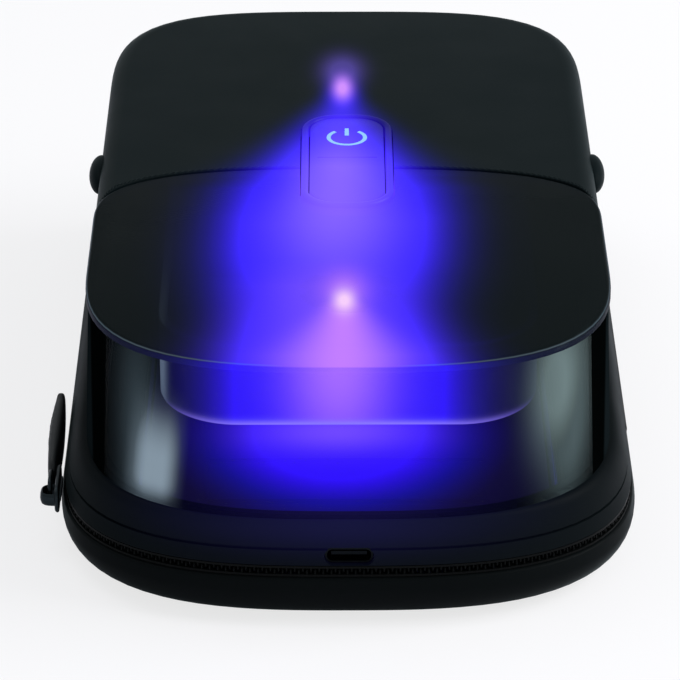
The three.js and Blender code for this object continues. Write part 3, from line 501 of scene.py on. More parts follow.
def rail_finish():
    """Soft-touch coated ABS of the hood's side rails: matt outside, and painted near-black on the
    inner band that shows beside the clear wall, as the painted shade of the gap there."""
    skin = Finish("soft_touch_rail", "#101617", 0.8, IOR=1.45, Specular_IOR_Level=0.0)
    skin.grain(0.35, 0.012, (0.75, 0.85))
    parts = skin.add("SeparateXYZ", {0: skin.spot})
    side = skin.add("Math", {0: parts.outputs["X"]}, operation="ABSOLUTE")
    # Painted shade: within 48 mm of the middle the rail is near-black, for the shadow of the gap
    # beside the clear wall.
    inner, outer = 48.0, 48.6
    share = skin.add("MapRange", {"Value": side.outputs[0], "From Min": inner * MM,
                                  "From Max": outer * MM}, interpolation_type="SMOOTHSTEP")
    skin.tones(share.outputs[0], "#020303", "#101618")
    return skin.material


def smoked_polycarbonate():
    """Smoked polycarbonate with a satin top, cast: it holds the lamps' light as a soft cloud, and
    its rolled edge catches the light in a fine line. Its upright wall shows the housing's."""
    skin = Finish("smoked_polycarbonate", "#0b1213", 0.38, IOR=1.58, Alpha=0.93,
                  Specular_IOR_Level=0.015)
    skin.grain(0.5, 0.006, (0.35, 0.41))
    lid_light(skin)
    top, skin.light = skin.light, BLACK
    housed_light(skin)
    facing = skin.add("SeparateXYZ", {0: skin.start.outputs["Normal"]}).outputs["Z"]
    wall = skin.add("MapRange", {"Value": facing, "From Min": 0.6, "From Max": 0.3})
    sides = skin.add("Mix", {0: wall.outputs[0], 6: top, 7: skin.light}, data_type="RGBA")
    skin.light = sides.outputs[2]
    line, tightness = 2 / 3, 12.0
    off = skin.add("Math", {0: facing, 1: tightness, 2: -line * tightness},
                   operation="MULTIPLY_ADD")
    square = skin.add("Math", {0: off.outputs[0], 1: off.outputs[0]}, operation="MULTIPLY")
    skin.bell("#46525c", square.outputs[0], 1.0)
    skin.shine()
    return skin.material


def clear_acrylic():
    """Polished clear acrylic, grey-tinted: seen through ahead, with painted highlights where the
    wall
    turns away: bright upright streaks of reflected light, given off by the surface itself."""
    wall = Finish("clear_acrylic", "#020303", 0.06, IOR=1.49, Specular_IOR_Level=0.01)
    turn = wall.add("LayerWeight", {"Blend": 0.35})
    veil = wall.add("MapRange", {"Value": turn.outputs["Facing"], "To Min": 0.05, "To Max": 0.95})
    parts = wall.add("SeparateXYZ", {0: wall.spot})
    # Painted highlight: a tilted upright band on the left front corner, given off as light and
    # made near-opaque.
    lean, most = 0.11, 0.85
    aside = wall.add("Math", {0: parts.outputs["Z"], 1: -lean, 2: parts.outputs["X"]},
                     operation="MULTIPLY_ADD")
    wide = wall.between(aside.outputs[0], rise=(-45.3, -40.3), fall=(-37.8, -32.8))
    tall = wall.between(parts.outputs["Z"], rise=(19.0, 26.0), fall=(30, 46))
    painted_glare = wall.add("Math", {0: wide, 1: tall}, operation="MULTIPLY").outputs[0]
    held = wall.add("Math", {0: painted_glare, 1: most}, operation="MULTIPLY")
    share = wall.add("Math", {0: veil.outputs[0], 1: held.outputs[0]}, operation="MAXIMUM")
    wall.feed("Alpha", share.outputs[0])
    # Painted highlights: a soft glow on the left corner and two on the right corner.
    wall.glow("#4c5c66", middle=(-38.2, 0, 30), spreads=(2.6, 0, 16), gain=1.0)
    wall.lighten(painted_glare, "#8495a3")
    wall.glow("#92aaac", middle=(38.0, 0, 44), spreads=(3.3, 0, 9), gain=1.2)
    wall.glow("#607276", middle=(40.4, 0, 33), spreads=(2.6, 0, 8), gain=1.2)
    wall.shine()
    return wall.material


def glowing_housing():
    """Clear polycarbonate lamp housing, moulded: it carries the violet light to its edges."""
    wall = Finish("glowing_polycarbonate", "#07080e", 0.2, IOR=1.58, Alpha=0.94,
                  Specular_IOR_Level=0.04)
    housed_light(wall)
    wall.glow("#8a78ff", middle=(HOUSED_X, -77, 34.9), spreads=(26, 5, 0.6), gain=1.0)
    # A painted highlight: a grey-blue line near the housing's left front corner.
    wall.glow("#5a6880", middle=(-34.9, -62, 45), spreads=(0.7, 12, 9), gain=1.3)
    wall.shine(THROUGH_HOOD)
    return wall.material


def dark_mat():
    """Dark silicone mat, pressed, with the pool of the front lamp's light on it."""
    skin = Finish("pressed_silicone_mat", "#06070b", 0.5, IOR=1.42, Specular_IOR_Level=0.06)
    skin.grain(0.8, 0.004, (0.46, 0.54))
    skin.glow(BLUE, middle=(HOUSED_X, -21, 0), spreads=(12.2, 14.4, 0), gain=2.7)
    skin.glow("#161239", middle=(HOUSED_X, -35, 0), spreads=(30, 26, 0), gain=1.2)
    skin.glow("#7048c0", middle=(HOUSED_X, -21, 0), spreads=(10, 5.6, 0), gain=1.0)
    skin.shine(THROUGH_HOOD)
    return skin.material


def mirror_foil():
    """Vacuum-metallised film on a formed sheet: a mirror with slight ripples."""
    film = Finish("metallised_film", "#9ea6ba", 0.16, Metallic=1.0)
    film.grain(9, 0.05)
    return film.material


def polished_trim():
    """Chromed ABS, polished: bright, with faint wear along the lip."""
    trim = Finish("chromed_abs", "#c4ccdd", 0.14, Metallic=1.0)
    trim.grain(1.6, 0.004, (0.1, 0.2))
    return trim.material


def nylon():
    """Extruded nylon monofilament, coiled: slightly waxy."""
    thread = Finish("coiled_nylon", "#070909", 0.45, IOR=1.53, Specular_IOR_Level=0.05)
    thread.grain(0.3, 0.01, (0.36, 0.5))
    return thread.material


def woven():
    """Woven polyester tape: two sets of soft ribs that cross, about 4 mm apart, which is much
    broader than its threads. The wave node draws one in 2 pi / 20 of its own units."""
    cloth = Finish("woven_polyester", "#0d1112", 0.85, Sheen_Weight=0.1, Specular_IOR_Level=0.1)
    rib = 3.77
    scale = 2 * pi / 20 / (rib * MM)
    warp, weft = (cloth.add("TexWave", {"Vector": cloth.spot, "Scale": scale,
                                        "Distortion": 0.3}, bands_direction=way)
                  for way in ("DIAGONAL", "Z"))
    ribs = cloth.add("Math", {0: warp.outputs["Fac"], 1: weft.outputs["Fac"]},
                     operation="MULTIPLY").outputs[0]
    cloth.bumps(ribs, 0.1)
    # Painted shade: the colour is darker in the hollows between the ribs and lighter on their
    # crests.
    cloth.tones(ribs, "#0a0d0e", "#1a2022")
    return cloth.material


def metal(name, colour, roughness, size=0.5):
    """A plated or bare metal, with fine working marks."""
    bare = Finish(name, colour, roughness, Metallic=1.0)
    bare.grain(size, 0.006, (roughness * 0.8, roughness * 1.25))
    return bare.material


def plastic(name, colour, roughness, size=0.5, depth=0.01):
    """A plain moulding with a fine spark grain."""
    moulding = Finish(name, colour, roughness)
    moulding.grain(size, depth, (roughness * 0.85, min(1.0, roughness * 1.15)))
    return moulding.material


def lit_button():
    """Satin ABS with the lamps' light over it."""
    skin = Finish("satin_abs_button", "#0c1016", 0.34, IOR=1.53, Specular_IOR_Level=0.06)
    skin.grain(0.4, 0.006, (0.3, 0.4))
    lid_light(skin)
    skin.shine()
    return skin.material


def light_guide():
    """Opal acrylic light guide: pale blue, lit from behind."""
    guide = Finish("opal_acrylic", "#6f9cf0", 0.35, IOR=1.49, Emission_Color=linear("#6f9cff"),
                   Emission_Strength=0.8)
    guide.grain(0.6, 0.003)
    return guide.material


def lamp_glass():
    """Silicone lens over the emitter, lit from within."""
    lens = Finish("silicone_lens", "#e8d8ff", 0.08, IOR=1.41, Emission_Color=linear("#d8b0ff"),
                  Emission_Strength=1.0)
    lens.grain(0.8, 0.002)
    return lens.material


surfaces = {
    "lit_cover": lit_cover(),
    "tub_skin": soft_touch("soft_touch_tub", "#090c0d", "#0b0f10").material,
    "rim_skin": lit_rim(),
    "rail": rail_finish(),
    "smoked_panel": smoked_polycarbonate(),
    "clear_hood": clear_acrylic(),
    "clear_housing": glowing_housing(),
    "dark_mat": dark_mat(),
    "mirror_foil": mirror_foil(),
    "polished_trim": polished_trim(),
    "zipper_nylon": nylon(),
    "woven_tape": woven(),
    "black_metal": metal("black_nickel_zinc", "#2a3134", 0.34),
    "steel": metal("bright_steel", "#a8adb2", 0.3),
    "dark_steel": metal("black_oxide_steel", "#15181b", 0.4),
    "pull_rubber": plastic("overmoulded_rubber", "#14191b", 0.6, 0.4, 0.02),
    "button_plastic": lit_button(),
    "light_guide": light_guide(),
    "housing_plastic": plastic("moulded_abs", "#171b1e", 0.5),
    "lamp_board": metal("lamp_board_aluminium", "#8e949c", 0.4),
    "lamp_glass": lamp_glass(),
    "board_laminate": plastic("glass_epoxy_board", "#154a30", 0.45, 0.9, 0.02),
    "amber_film": plastic("polyimide_film", "#8a4d14", 0.35),
    "pale_plastic": plastic("moulded_nylon_connector", "#d2d2ca", 0.5),
    "cell_foil": metal("laminated_foil_pouch", "#8d939a", 0.42, 1.5),
    "switch_plastic": plastic("black_moulding", "#141416", 0.5),
    "magnet_nickel": metal("nickel_plate", "#b5b2aa", 0.22),
}


def tub():
    """The lower shell: a flat underside, a belly that swells to the widest line, and a lip."""
    widest = box("tub_shell")[1]
    rows = []
    for turn in arc(14, pi / 2):
        across, up = sin(turn), 1 - cos(turn)
        w = UNDERSIDE[0] + (widest.x - UNDERSIDE[0]) * across
        l = UNDERSIDE[1] + (widest.y - UNDERSIDE[1]) * across
        rows.append(level(outline, w, l, BELLY_HEIGHT * up))
    lip, floor, cove = (55, 90), 2, (1.2, 3)
    rows += [
        level(outline, *lip, widest.z),
        level(outline, *INSIDE, widest.z),
        level(outline, *INSIDE, floor + cove[1]),
        level(outline, INSIDE[0] - cove[0], INSIDE[1] - cove[0], floor),
    ]
    shape = solid("tub", *net(rows, caps=True))
    return place(soften(shape, 0.45), "base", "tub_skin", "tub_shell")


def liner():
    """The mirror pan, formed from one thin sheet, with a soft bend at its foot."""
    low, high = box("mirror_liner")
    w, l = high.x, high.y
    foot, cove, sheet = 5.3, 1.2, 1.0
    rows = [
        level(outline, w - cove, l - cove, low.z),
        level(outline, w, l, foot),
        level(outline, w, l, high.z),
        level(outline, w - sheet, l - sheet, high.z),
        level(outline, w - sheet, l - sheet, foot),
        level(outline, w - cove - sheet, l - cove - sheet, low.z + sheet),
    ]
    shape = solid("reflector_pan", *net(rows, caps=True))
    return place(soften(shape, 0.35), "base", "mirror_foil", "mirror_liner")


def cradle():
    """The bright frame round the bay: an upright wall with a rolled lip."""
    low, high = box("phone_cradle")
    w, l = 2 * high.x, 2 * high.y
    wall, corner = 1.2, 15.2
    lip = wall / 2
    section = [(0, low.z)]
    section += [(lip - lip * cos(t), high.z - lip + lip * sin(t)) for t in arc(10)]
    section.append((wall, low.z))
    rows = [ring(w - 2 * i, l - 2 * i, corner - i, z, steps=14) for i, z in section]
    shape = solid("bay_frame", *net(rows, wrap_rows=True))
    return place(smooth(shape, 50), "base", "polished_trim", "phone_cradle")


def mat():
    """The ribbed mat that the bay's floor is covered with."""
    low, high = box("tray_mat")
    w, l = 2 * high.x, 2 * high.y
    corner, proud = 13.7, 0.4
    shape = pad("bay_mat", w, l, corner, low.z, high.z - proud, steps=14)
    soften(shape, 0.25, 2)
    settle(shape)
    ribs, margin, width = 9, 12.0, 1.2
    for i in range(ribs):
        y = (l / 2 - margin) * (2 * i / (ribs - 1) - 1)
        rib = pad(f"rib_{i}", w - 2 * margin, width, width * 0.49, low.z + proud, high.z, y, 6)
        carved(shape, rib, operation="UNION")
    return place(soften(shape, 0.15, 2), "base", "dark_mat", "tray_mat")


def port_slot(name, y0, y1):
    """The pill of the charging socket as a cutter along Y."""
    low, high = box("charging_socket")
    middle = (low.z + high.z) / 2
    w, h = high.x - low.x + 2 * SLIP, high.z - low.z + 2 * SLIP
    pill = rounded(w, h, h / 2 - 0.05)
    rows = [[Vector((x, y, middle + z)) for x, z in pill] for y in (y0, y1)]
    return solid(name, *net(rows, caps=True))


def rim():
    """The lid's matt rim over the zipper, with its parting groove and soft shoulder."""
    low, high = box("rim_frame")
    depth, width, ease = 0.5, 0.6, 0.1
    groove = (SEAM[0] - depth, SEAM[1] - depth)
    groove_low = SEAM_HEIGHT - width
    rows = [
        level(outline, high.x, high.y, low.z),
        level(outline, *SEAM, groove_low),
        level(outline, *groove, groove_low + ease),
        level(outline, *groove, SEAM_HEIGHT - ease),
    ]
    steps, bulge, rest = 8, 0.55, 0.3
    foot = (FOOT[0] + rest, FOOT[1] + rest)
    for i in range(steps + 1):
        turn = pi / 2 * i / steps
        share = (i / steps) ** 0.8
        swell = bulge * sin(pi * share)
        w, l = (SEAM[k] + (foot[k] - SEAM[k]) * share + swell for k in (0, 1))
        z = SEAM_HEIGHT + (FOOT[2] - SEAM_HEIGHT) * sin(turn)
        rows.append(level(outline, min(w, high.x), min(l, high.y), z))
    ledge, drop = 3.2, 2.4
    shelf = (FOOT[0] - ledge, FOOT[1] - ledge)
    rows += [
        level(outline, *shelf, FOOT[2]),
        level(outline, *shelf, FOOT[2] - drop),
        level(outline, *INSIDE, SEAM_HEIGHT + width),
        level(outline, *INSIDE, low.z),
    ]
    shape = solid("rim", *net(rows, wrap_rows=True))
    port_depth = 7
    carved(shape, port_slot("port_cutter", -high.y - PAST, -high.y + port_depth))
    return place(soften(shape, 0.3, 2), "lid", "soft_touch", "rim_frame", "rim_skin")


def ear(side):
    """A smooth knob that swells out of the lid's side wall."""
    radii, along_side, below_top = (2.4, 6.5, 3.3), 9, 5.3
    height = TOP[2] - below_top
    middle = Vector((side * lid_skin(height)[0], along_side, height))
    turns = arc(48, 2 * pi)[:-1]
    rows = [[middle + Vector((radii[0] * sin(lean) * cos(t),
                              -radii[1] * cos(lean),
                              radii[2] * sin(lean) * sin(t))) for t in turns]
            for lean in arc(24)[1:-1]]
    return solid("ear", *net(rows, caps=True))


def panel_plug(name, grown):
    """The see-through panel's plan as a cutter, larger by a margin."""
    w, l = TOP[0] + grown, TOP[1] + grown
    rows = [level(panel_outline, w, l, z, grown) for z in (CEILING - 0.01, TOP[2] + PAST)]
    return solid(name, *net(rows, caps=True))


def button_plug(name):
    """The bezel's plan as a cutter, with room round it."""
    w, l = 2 * bezel_high.x + 2 * SLIP, bezel_high.y - bezel_low.y + 2 * SLIP
    return pad(name, w, l, BEZEL_CORNER + SLIP, CEILING - PAST, TOP[2] + PAST, BUTTON_Y, 10)


def cover():
    """The lid's opaque half: a dome with soft edges and an ear on each side."""
    wall, panel_room = 2.0, 1.1
    shoulder = TOP[2] - COVER_EDGE
    heights = [FOOT[2] + (shoulder - FOOT[2]) * i / 6 for i in range(6)]
    rows = [level(outline, *lid_skin(z), z) for z in heights]
    for turn in arc(10, pi / 2):
        z = TOP[2] - COVER_EDGE * (1 - sin(turn))
        rows.append(level(outline, *lid_skin(z, COVER_EDGE * (1 - cos(turn))), z))
    shape = solid("cover", *net(rows, caps=True))
    carved(shape, ear(1), ear(-1), operation="UNION")
    hollow = [level(outline, *lid_skin(z, wall), z) for z in (FOOT[2] - PAST, CEILING - wall)]
    hollow.append(level(outline, *lid_skin(CEILING, COVER_EDGE), CEILING))
    carved(
        shape,
        solid("cover_hollow", *net(hollow, caps=True)),
        slab("cover_front", (-BEYOND, BEYOND), (-BEYOND, SPLIT), (0, BEYOND)),
        panel_plug("cover_panel", panel_room),
        button_plug("cover_button"),
    )
    return place(smooth(shape, 35), "lid", "soft_touch", "rear_cover", "lit_cover")


def panel():
    """The see-through panel, with a rolled front edge."""
    edge = 0.8
    rows = [level(panel_outline, TOP[0], TOP[1], CEILING)]
    for turn in arc(5, pi / 2):
        inset = edge * (1 - cos(turn))
        z = TOP[2] - edge * (1 - sin(turn))
        rows.append(level(panel_outline, TOP[0] - inset, TOP[1] - inset, z, -inset))
    shape = solid("see_through_panel", *net(rows, caps=True))
    carved(shape, button_plug("panel_button"))
    return place(smooth(shape, 40), "lid", "smoked_panel", "top_panel")


def hood():
    """The glossy clear wall round the front, with a matt rail on each side."""
    wall, lean, rail_x = 1.8, 0.5, 44.7
    upper = lid_skin(CEILING, lean)
    rows = [
        level(hooded, *FOOT[:2], FOOT[2]),
        level(hooded, *upper, CEILING),
        level(hooded, upper[0] - wall, upper[1] - wall, CEILING),
        level(hooded, FOOT[0] - wall, FOOT[1] - wall, FOOT[2]),
    ]
    shape = solid("hood", *net(rows, wrap_rows=True, wrap_columns=False))
    place(soften(shape, 0.2, 2), "lid", "clear_hood", "front_hood")
    shape.data.materials.append(surfaces["rail"])
    for face in shape.data.polygons:
        if abs(face.center.x) > rail_x * MM:
            face.material_index = 1
    return shape


def follow_shoulder(point):
    """Lets a place on the cover's flat top sink with its rounded shoulder at the sides."""
    side = lid_skin(TOP[2])[0]
    x = copysign(min(abs(point.x), side + 0.2), point.x)
    past = max(0, abs(x) - (side - COVER_EDGE))
    sink = COVER_EDGE - sqrt(max(0, COVER_EDGE**2 - past**2))
    return Vector((x, point.y, point.z - sink))


def bead(side):
    """The raised bead along the panel's rear edge on one side, stitched with fine notches."""
    near, far, proud, notch = 0.2, 0.9, 0.35, 0.22
    middle, half, foot = (far + near) / 2, (far - near) / 2, TOP[2] - 0.05
    section = [(far, CEILING)]
    section += [(middle + half * cos(t), foot + proud * sin(t)) for t in arc(8)]
    section.append((near, CEILING))
    rows = [[Vector((x, y, z)) for x, y in panel_rear(TOP[0] + grown, grown, 240)]
            for grown, z in section]
    for row in rows[1:-1]:
        for point in row[1::2]:
            if point.z > TOP[2]:
                point.z -= notch
    name = "right" if side > 0 else "left"
    shape = solid(f"bead_{name}", *net(rows, wrap_rows=True, wrap_columns=False))
    other_side = (-BEYOND, 0) if side > 0 else (0, BEYOND)
    carved(shape, slab("bead_half", other_side, (-BEYOND, BEYOND), (0, BEYOND)),
           button_plug("bead_button"))
    for vertex in shape.data.vertices:
        vertex.co = follow_shoulder(vertex.co / MM) * MM
    return place(smooth(shape, 40), "lid", "soft_touch", f"panel_bead_{name}", "lit_cover")


def bezel():
    """The raised ring round the button, with a rounded crown."""
    w, l = 2 * bezel_high.x, bezel_high.y - bezel_low.y
    band, crown = 1.5, 0.7
    half, spring = band / 2, bezel_high.z - crown
    section = [(0, bezel_low.z), (0, spring)]
    section += [(half - half * cos(t), spring + crown * sin(t))
                for t in arc(10)[1:-1]]
    section += [(band, spring), (band, bezel_low.z)]
    rows = [ring(w - 2 * i, l - 2 * i, BEZEL_CORNER - i, z, BUTTON_Y) for i, z in section]
    shape = solid("bezel", *net(rows, wrap_rows=True))
    return place(smooth(shape, 50), "lid", "button_plastic", "button_bezel")


def symbol_marks(name, margin, z0, z1):
    """The power symbol's ring with a gap, and its stem, as two solids."""
    r, half = SYMBOL["radius"], SYMBOL["stroke"] / 2 + margin
    start = pi / 2 + SYMBOL["gap"] / 2 - margin / r
    sweep = 2 * pi - SYMBOL["gap"] + 2 * margin / r
    turns = [start + turn for turn in arc(40, sweep)]
    loop = [((r + half) * cos(t), (r + half) * sin(t)) for t in turns]
    loop += [((r - half) * cos(t), (r - half) * sin(t)) for t in reversed(turns)]
    top = r + SYMBOL["stroke"] + margin
    foot = top - SYMBOL["stem"] - 2 * margin
    stem = [(-half, foot), (half, foot), (half, top), (-half, top)]
    return [prism(f"{name}_{i}", [(x, y + SYMBOL_Y) for x, y in points], z0, z1)
            for i, points in enumerate((loop, stem))]


def power_button():
    """The cap with its cue line, and the lit symbol let into it."""
    low, high = box("power_cap")
    w, l, middle, crown = 2 * high.x, high.y - low.y, (low.y + high.y) / 2, high.z
    corner, edge, bend = 5.5, 0.45, 0.13
    section = ((0, low.z), (0, crown - edge), (bend, crown - bend), (edge, crown))
    rows = [ring(w - 2 * i, l - 2 * i, corner - i, z, middle) for i, z in section]
    cap = solid("cap", *net(rows, caps=True))
    across, depth, fit = 10.6, 0.7, 0.06
    floor, above = crown - depth, crown + 1
    well = disc("cap_well", across + 2 * SLIP, low.z - PAST, floor + fit, SYMBOL_Y)
    cue_y, cue_half, cue_depth = 4, 0.22, 0.25
    cue = slab("cap_cue", (-6, 6), (cue_y - cue_half, cue_y + cue_half),
               (crown - cue_depth, above))
    carved(cap, well, cue, *symbol_marks("cap_mark", fit, floor - SLIP, above))
    place(smooth(cap, 30), "power_button", "button_plastic", "power_cap")
    symbol = disc("symbol", across, symbol_low.z, floor, SYMBOL_Y)
    carved(symbol, *symbol_marks("mark", 0, floor - 0.1, symbol_high.z), operation="UNION")
    place(smooth(symbol, 30), "power_button", "light_guide", "power_symbol")


def front_lamp_housing():
    """The clear housing under the panel: open at its top, with a round window in its floor."""
    low, high = box("front_housing")
    w, l, corner, wall, window = 2 * high.x, 2 * 76.5, 15.0, 1.6, 18
    edge = ((0.9, low.z), (0.25, low.z + 0.3), (0, low.z + 0.9), (0, high.z))
    rows = [ring(w - 2 * i, l - 2 * i, corner - i, z, steps=16) for i, z in edge]
    shape = solid("lamp_housing", *net(rows, caps=True))
    hollow = pad("housing_hollow", w - 2 * wall, l - 2 * wall, corner - wall, low.z + wall,
                 high.z + PAST, steps=16)
    across, up = (-BEYOND, BEYOND), (0, BEYOND)
    carved(hollow, slab("housing_keep", across, (high.y - wall, BEYOND), up))
    lamp_low, lamp_high = box("front_lamp")
    carved(
        shape,
        hollow,
        slab("housing_rear", across, (high.y, BEYOND), up),
        disc("housing_window", window, low.z - PAST, low.z + 2 * wall,
             (lamp_low.y + lamp_high.y) / 2),
        button_plug("housing_button"),
    )
    return place(smooth(shape, 35), "lid", "clear_housing", "front_housing")


def tape(name, body, node):
    """A woven tape that stands inside the lip."""
    low, high = box(node)
    w, l, thick = high.x, high.y, 0.6
    rows = [level(zipped, w, l, low.z), level(zipped, w, l, high.z),
            level(zipped, w - thick, l - thick, high.z),
            level(zipped, w - thick, l - thick, low.z)]
    shape = solid(name, *net(rows, wrap_rows=True, wrap_columns=False))
    if body == "lid":
        carved(shape, port_slot("tape_cutter", -l - PAST, -l + PAST))
    return place(soften(shape, 0.12, 2), body, "woven_tape", node)


def along(points, step, first):
    """Places at equal steps along a plan path: a point and its direction."""
    places, due, done = [], first, 0.0
    for a, b in zip(points, points[1:]):
        leg = b - a
        length = leg.length
        while due < done + length:
            places.append((a.lerp(b, (due - done) / length), leg / length))
            due += step
        done += length
    return places


def zipper_half(side):
    """One row of the nylon coil: rounded teeth on a cord, between those of the other row."""
    pitch, reach, overlap = 1.5, 1.1, 0.45
    far, tip = ZIP_HEIGHT + side * reach, ZIP_HEIGHT - side * overlap
    deep, wide, around = 1.05, 0.34, 8
    profile = ((0, 0.6), (0.12, 0.9), (0.45, 1.0), (0.8, 0.95), (0.95, 0.75), (1, 0.35))
    line = level(zipped, ZIP[0] - reach, ZIP[1] - reach, 0)
    turns = [2 * pi * (k + 0.5) / around for k in range(around)]
    points, faces = [], []

    def gather(more_points, more_faces):
        base = len(points)
        points.extend(more_points)
        faces.extend(tuple(base + i for i in face) for face in more_faces)

    for centre, ahead in along(line, pitch, pitch * (1 if side > 0 else 1.5)):
        out = Vector((ahead.y, -ahead.x, 0))
        rows = [[centre + out * (cos(t) * deep * size) + ahead * (sin(t) * wide * size)
                 + Vector((0, 0, far + (tip - far) * share)) for t in turns]
                for share, size in profile]
        gather(*net(rows, caps=True))
    z0, z1 = sorted((far, far - side * overlap))
    cord = [level(zipped, ZIP[0] - inset, ZIP[1] - inset, z)
            for inset, z in ((0.05, z0), (0.05, z1), (2.15, z1), (2.15, z0))]
    gather(*net(cord, wrap_rows=True, wrap_columns=False))
    name = "upper" if side > 0 else "lower"
    teeth = solid(f"coil_{name}", points, faces)
    return place(smooth(teeth, 50), "lid" if side > 0 else "base", "zipper_nylon",
                 f"{name}_zipper_chain")


def spine():
    """The fabric that joins both halves on the right, in fine rows."""
    half, foot, rise = spine_high.y, spine_low.z, spine_high.z - spine_low.z
    outer, inner = spine_high.x, spine_low.x + 0.9
    bow, shares = 0.4, [i / 8 for i in range(9)]
    rows = [(outer - bow * (2 * share - 1) ** 2, foot + rise * share) for share in shares]
    rows += [(inner, foot + rise * share) for share in reversed(shares)]
    places = [half * (2 * i / 60 - 1) for i in range(61)]
    fabric = [[Vector((x, y, z)) for y in places] for x, z in rows]
    shape = solid("spine", *net(fabric, wrap_rows=True, wrap_columns=False))
    smooth(shape, 50)
    shape.data.materials.append(surfaces["woven_tape"])
    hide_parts("hinge_spine")
    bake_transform(shape)
    return shape


def bar(name, points, across, wide, thick, sides, closed):
    """A bar along points, with an oval section that is wide along one axis."""
    rows, last = [], len(points) - 1
    for i, point in enumerate(points):
        before, after = points[max(i - 1, 0)], points[min(i + 1, last)]
        if closed:
            before, after = points[i - 1], points[(i + 1) % (last + 1)]
        up = (after - before).normalized().cross(across).normalized()
        rows.append([point + across * (wide * cos(t)) + up * (thick * sin(t))
                     for t in arc(sides, 2 * pi)[:-1]])
    return solid(name, *net(rows, wrap_rows=closed, caps=not closed))


def eased(share, length):
    """A height that rises in a quarter circle over the first part of a share."""
    return min(1.0, sqrt(max(0.0, 1 - (1 - min(share, length) / length) ** 2)) + 0.15)


def squared(turn):
    """The cosine and the sine of a turn, swelled so that a circle becomes squarer."""
    return [copysign(abs(v) ** 0.6, v) for v in (cos(turn), sin(turn))]


def pull():
    """The slider's pull: a wire loop, and a leaf-shaped rubber tab with grip ribs."""
    low, high = box("pull_link")
    x, z = (low.x + high.x) / 2, ZIP_HEIGHT
    wire, corner, loop_length, inset = 0.45, 1.9, 7.2, 1.0
    y0, y1 = low.y, low.y + loop_length
    loop = [Vector((x, (y0 + y1) / 2 + dy, z + dz))
            for dz, dy in rounded(high.z - low.z - inset, y1 - y0 - inset, corner, 6)]
    link = bar("pull_ring", loop, Vector((1, 0, 0)), wire, wire, 10, closed=True)
    half_thick, half_tall, overlap = 0.25, 1.3, 0.6
    tang = slab("tang", (x - half_thick, x + half_thick), (y1 - overlap, high.y),
                (z - half_tall, z + half_tall))
    carved(link, tang, operation="UNION")
    place(smooth(link, 40), "pull", "black_metal", "pull_link")
    low, high = box("pull_tab")
    steps, rows = 40, []
    thin, fuller, rib, rib_pitch = 0.8, 0.55, 0.12, 2.6
    for i in range(steps + 1):
        share = i / steps
        y = low.y + (high.y - low.y) * share
        near, far = eased(share, 0.1), eased(1 - share, 0.07)
        leaf = 0.72 + 0.28 * sin(pi * min(1, share * 1.15)) ** 0.8
        tall = (high.z - low.z) / 2 * leaf * min(near, far)
        thick = (thin + fuller * (1 - (2 * share - 1) ** 2)) * min(1, near + 0.3, far + 0.3)
        grip = rib * sin(2 * pi * (y - low.y) / rib_pitch) if 0.3 < share < 0.7 else 0
        row = []
        for turn in arc(24, 2 * pi)[:-1]:
            c, s = squared(turn)
            row.append(Vector((x + c * (thick + (grip if c < 0 else 0)), y, z + s * tall)))
        rows.append(row)
    tab = solid("pull_leaf", *net(rows, caps=True))
    return place(smooth(tab, 45), "pull", "pull_rubber", "pull_tab")


def slider():
    """The die-cast slider: a rounded plate over the coil, and its bail."""
    low, high = box("zipper_slider")
    y, face = (low.y + high.y) / 2, high.x
    tall, length, corner = high.z - low.z, high.y - low.y, 2.0

    def upright(w, l, r, out, steps):
        return [Vector((face - out, y + dy, ZIP_HEIGHT + dz))
                for dz, dy in rounded(w, l, r, steps)]

    crown = ((0.3, 0.3), (0.08, 0.4), (0, 0.6), (0.1, 0.92), (0.4, 1.1))
    rows = [upright(tall - 2 * i, length - 2 * i, corner - i, out, 8) for i, out in crown]
    plate = solid("slider_plate", *net(rows, caps=True))
    boss = solid("slider_boss", *net([upright(1.8, 8.0, 0.85, out, 6) for out in (0, 0.5)],
                                     caps=True))
    bail_ahead, bail_half, sunk, wire = 2.7, 2.05, 0.8, (1.25, 0.45)
    arch_height = face - low.x - sunk - wire[1]
    arch = []
    for turn in arc(16):
        c, s = squared(turn)
        arch.append(Vector((face - sunk - arch_height * abs(s), y + c * bail_half - bail_ahead,
                            ZIP_HEIGHT)))
    bail = bar("slider_bail", arch, Vector((0, 0, 1)), *wire, 12, closed=False)
    carved(plate, boss, bail, operation="UNION")
    return place(smooth(plate, 40), "slider", "black_metal", "zipper_slider")


def dress_frame():
    """Gives the frame's own shown nodes their finishes and slightly rounded edges."""
    slots = {s["node"]: s["material_slot"] for s in frame["record"]["subparts"]}
    for name, node in frame["nodes"].items():
        if node.hide_render:
            continue
        finish = "dark_steel" if name == "charging_socket" else slots[name]
        node.data.materials.clear()
        node.data.materials.append(surfaces[finish])
        soften(node, 0.12, 2, 40)


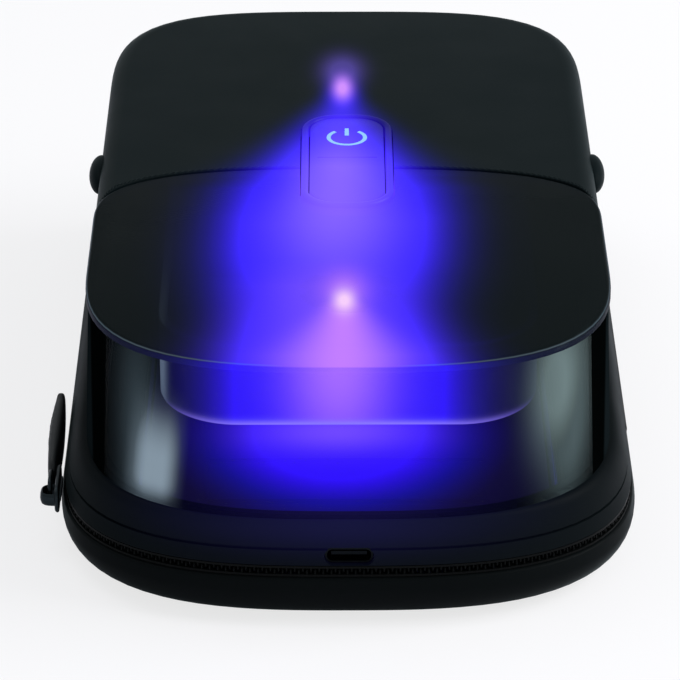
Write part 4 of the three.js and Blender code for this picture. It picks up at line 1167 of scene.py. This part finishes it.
def studio():
    """A pale floor that shows white, soft lamps at a plain level, and a white surround."""
    far, below, seen_share = 4000, -0.05, 0.75
    ground = solid("floor", [(-far, -far, below), (far, -far, below), (far, far, below),
                             (-far, far, below)], [(0, 1, 2, 3)])
    pale = Finish("pale_floor", "#f6f5fc", 0.9, Specular_IOR_Level=0.1)
    seen = pale.add("LightPath").outputs["Is Camera Ray"]
    share = pale.add("Math", {0: seen, 1: seen_share}, operation="MULTIPLY")
    bright = pale.add("Emission", {"Color": WHITE, "Strength": 1.0})
    shown = pale.add("MixShader", {0: share.outputs[0], 1: pale.shader.outputs[0],
                                   2: bright.outputs[0]})
    pale.tree.links.new(shown.outputs[0], pale.tree.nodes["Material Output"].inputs["Surface"])
    ground.data.materials.append(pale.material)
    world = bpy.data.worlds.new("studio")
    scene.world = world
    world.use_nodes = True
    tree = world.node_tree
    tree.nodes.clear()
    seen = add(tree, "LightPath").outputs["Is Camera Ray"]
    plain = add(tree, "Background", {"Color": linear("#e8ecf0"), "Strength": 0.55})
    white = add(tree, "Background", {"Color": WHITE, "Strength": 1.0})
    mixed = add(tree, "MixShader", {0: seen, 1: plain.outputs[0], 2: white.outputs[0]})
    add(tree, "OutputWorld", {"Surface": mixed.outputs[0]})
    aim = Vector((0, 0, 20))
    lamps = (
        ("key", Vector((760, -60, 560)), 600, 7.5),
        ("fill", Vector((-350, 100, 950)), 500, 1.6),
    )
    for name, at, size, power in lamps:
        data = bpy.data.lights.new(name, "AREA")
        data.shape, data.size, data.size_y = "RECTANGLE", size * MM, size * MM
        data.energy = power
        lamp = bpy.data.objects.new(name, data)
        lamp.location = at * MM
        lamp.rotation_euler = (aim - at).to_track_quat("-Z", "Y").to_euler()
        scene.collection.objects.link(lamp)


def camera():
    """The photograph's view: from the front and above, through a long lens."""
    data = bpy.data.cameras.new("camera")
    focal_pixels, frame_pixels, aside_pixels = 4071.6, 680, 8.9
    data.sensor_width = 36
    data.lens = data.sensor_width * focal_pixels / frame_pixels
    data.shift_x = -aside_pixels / frame_pixels
    data.clip_end = 20
    made = bpy.data.objects.new("camera", data)
    turn, down, pivot, distance, height = 0.0045, 26.5, -80, 664.15, 385.3
    made.location = Vector((-distance * sin(turn), pivot - distance * cos(turn),
                            height)) * MM
    made.rotation_euler = (radians(90 - down), 0, -turn)
    scene.collection.objects.link(made)
    scene.camera = made


camera()
studio()
tub()
liner()
cradle()
mat()
rim()
cover()
panel()
hood()
bead(1)
bead(-1)
bezel()
power_button()
front_lamp_housing()
tape("tape_upper", "lid", "upper_zipper_tape")
tape("tape_lower", "base", "lower_zipper_tape")
zipper_half(1)
zipper_half(-1)
spine()
slider()
pull()
dress_frame()

scene.view_settings.view_transform = "Standard"
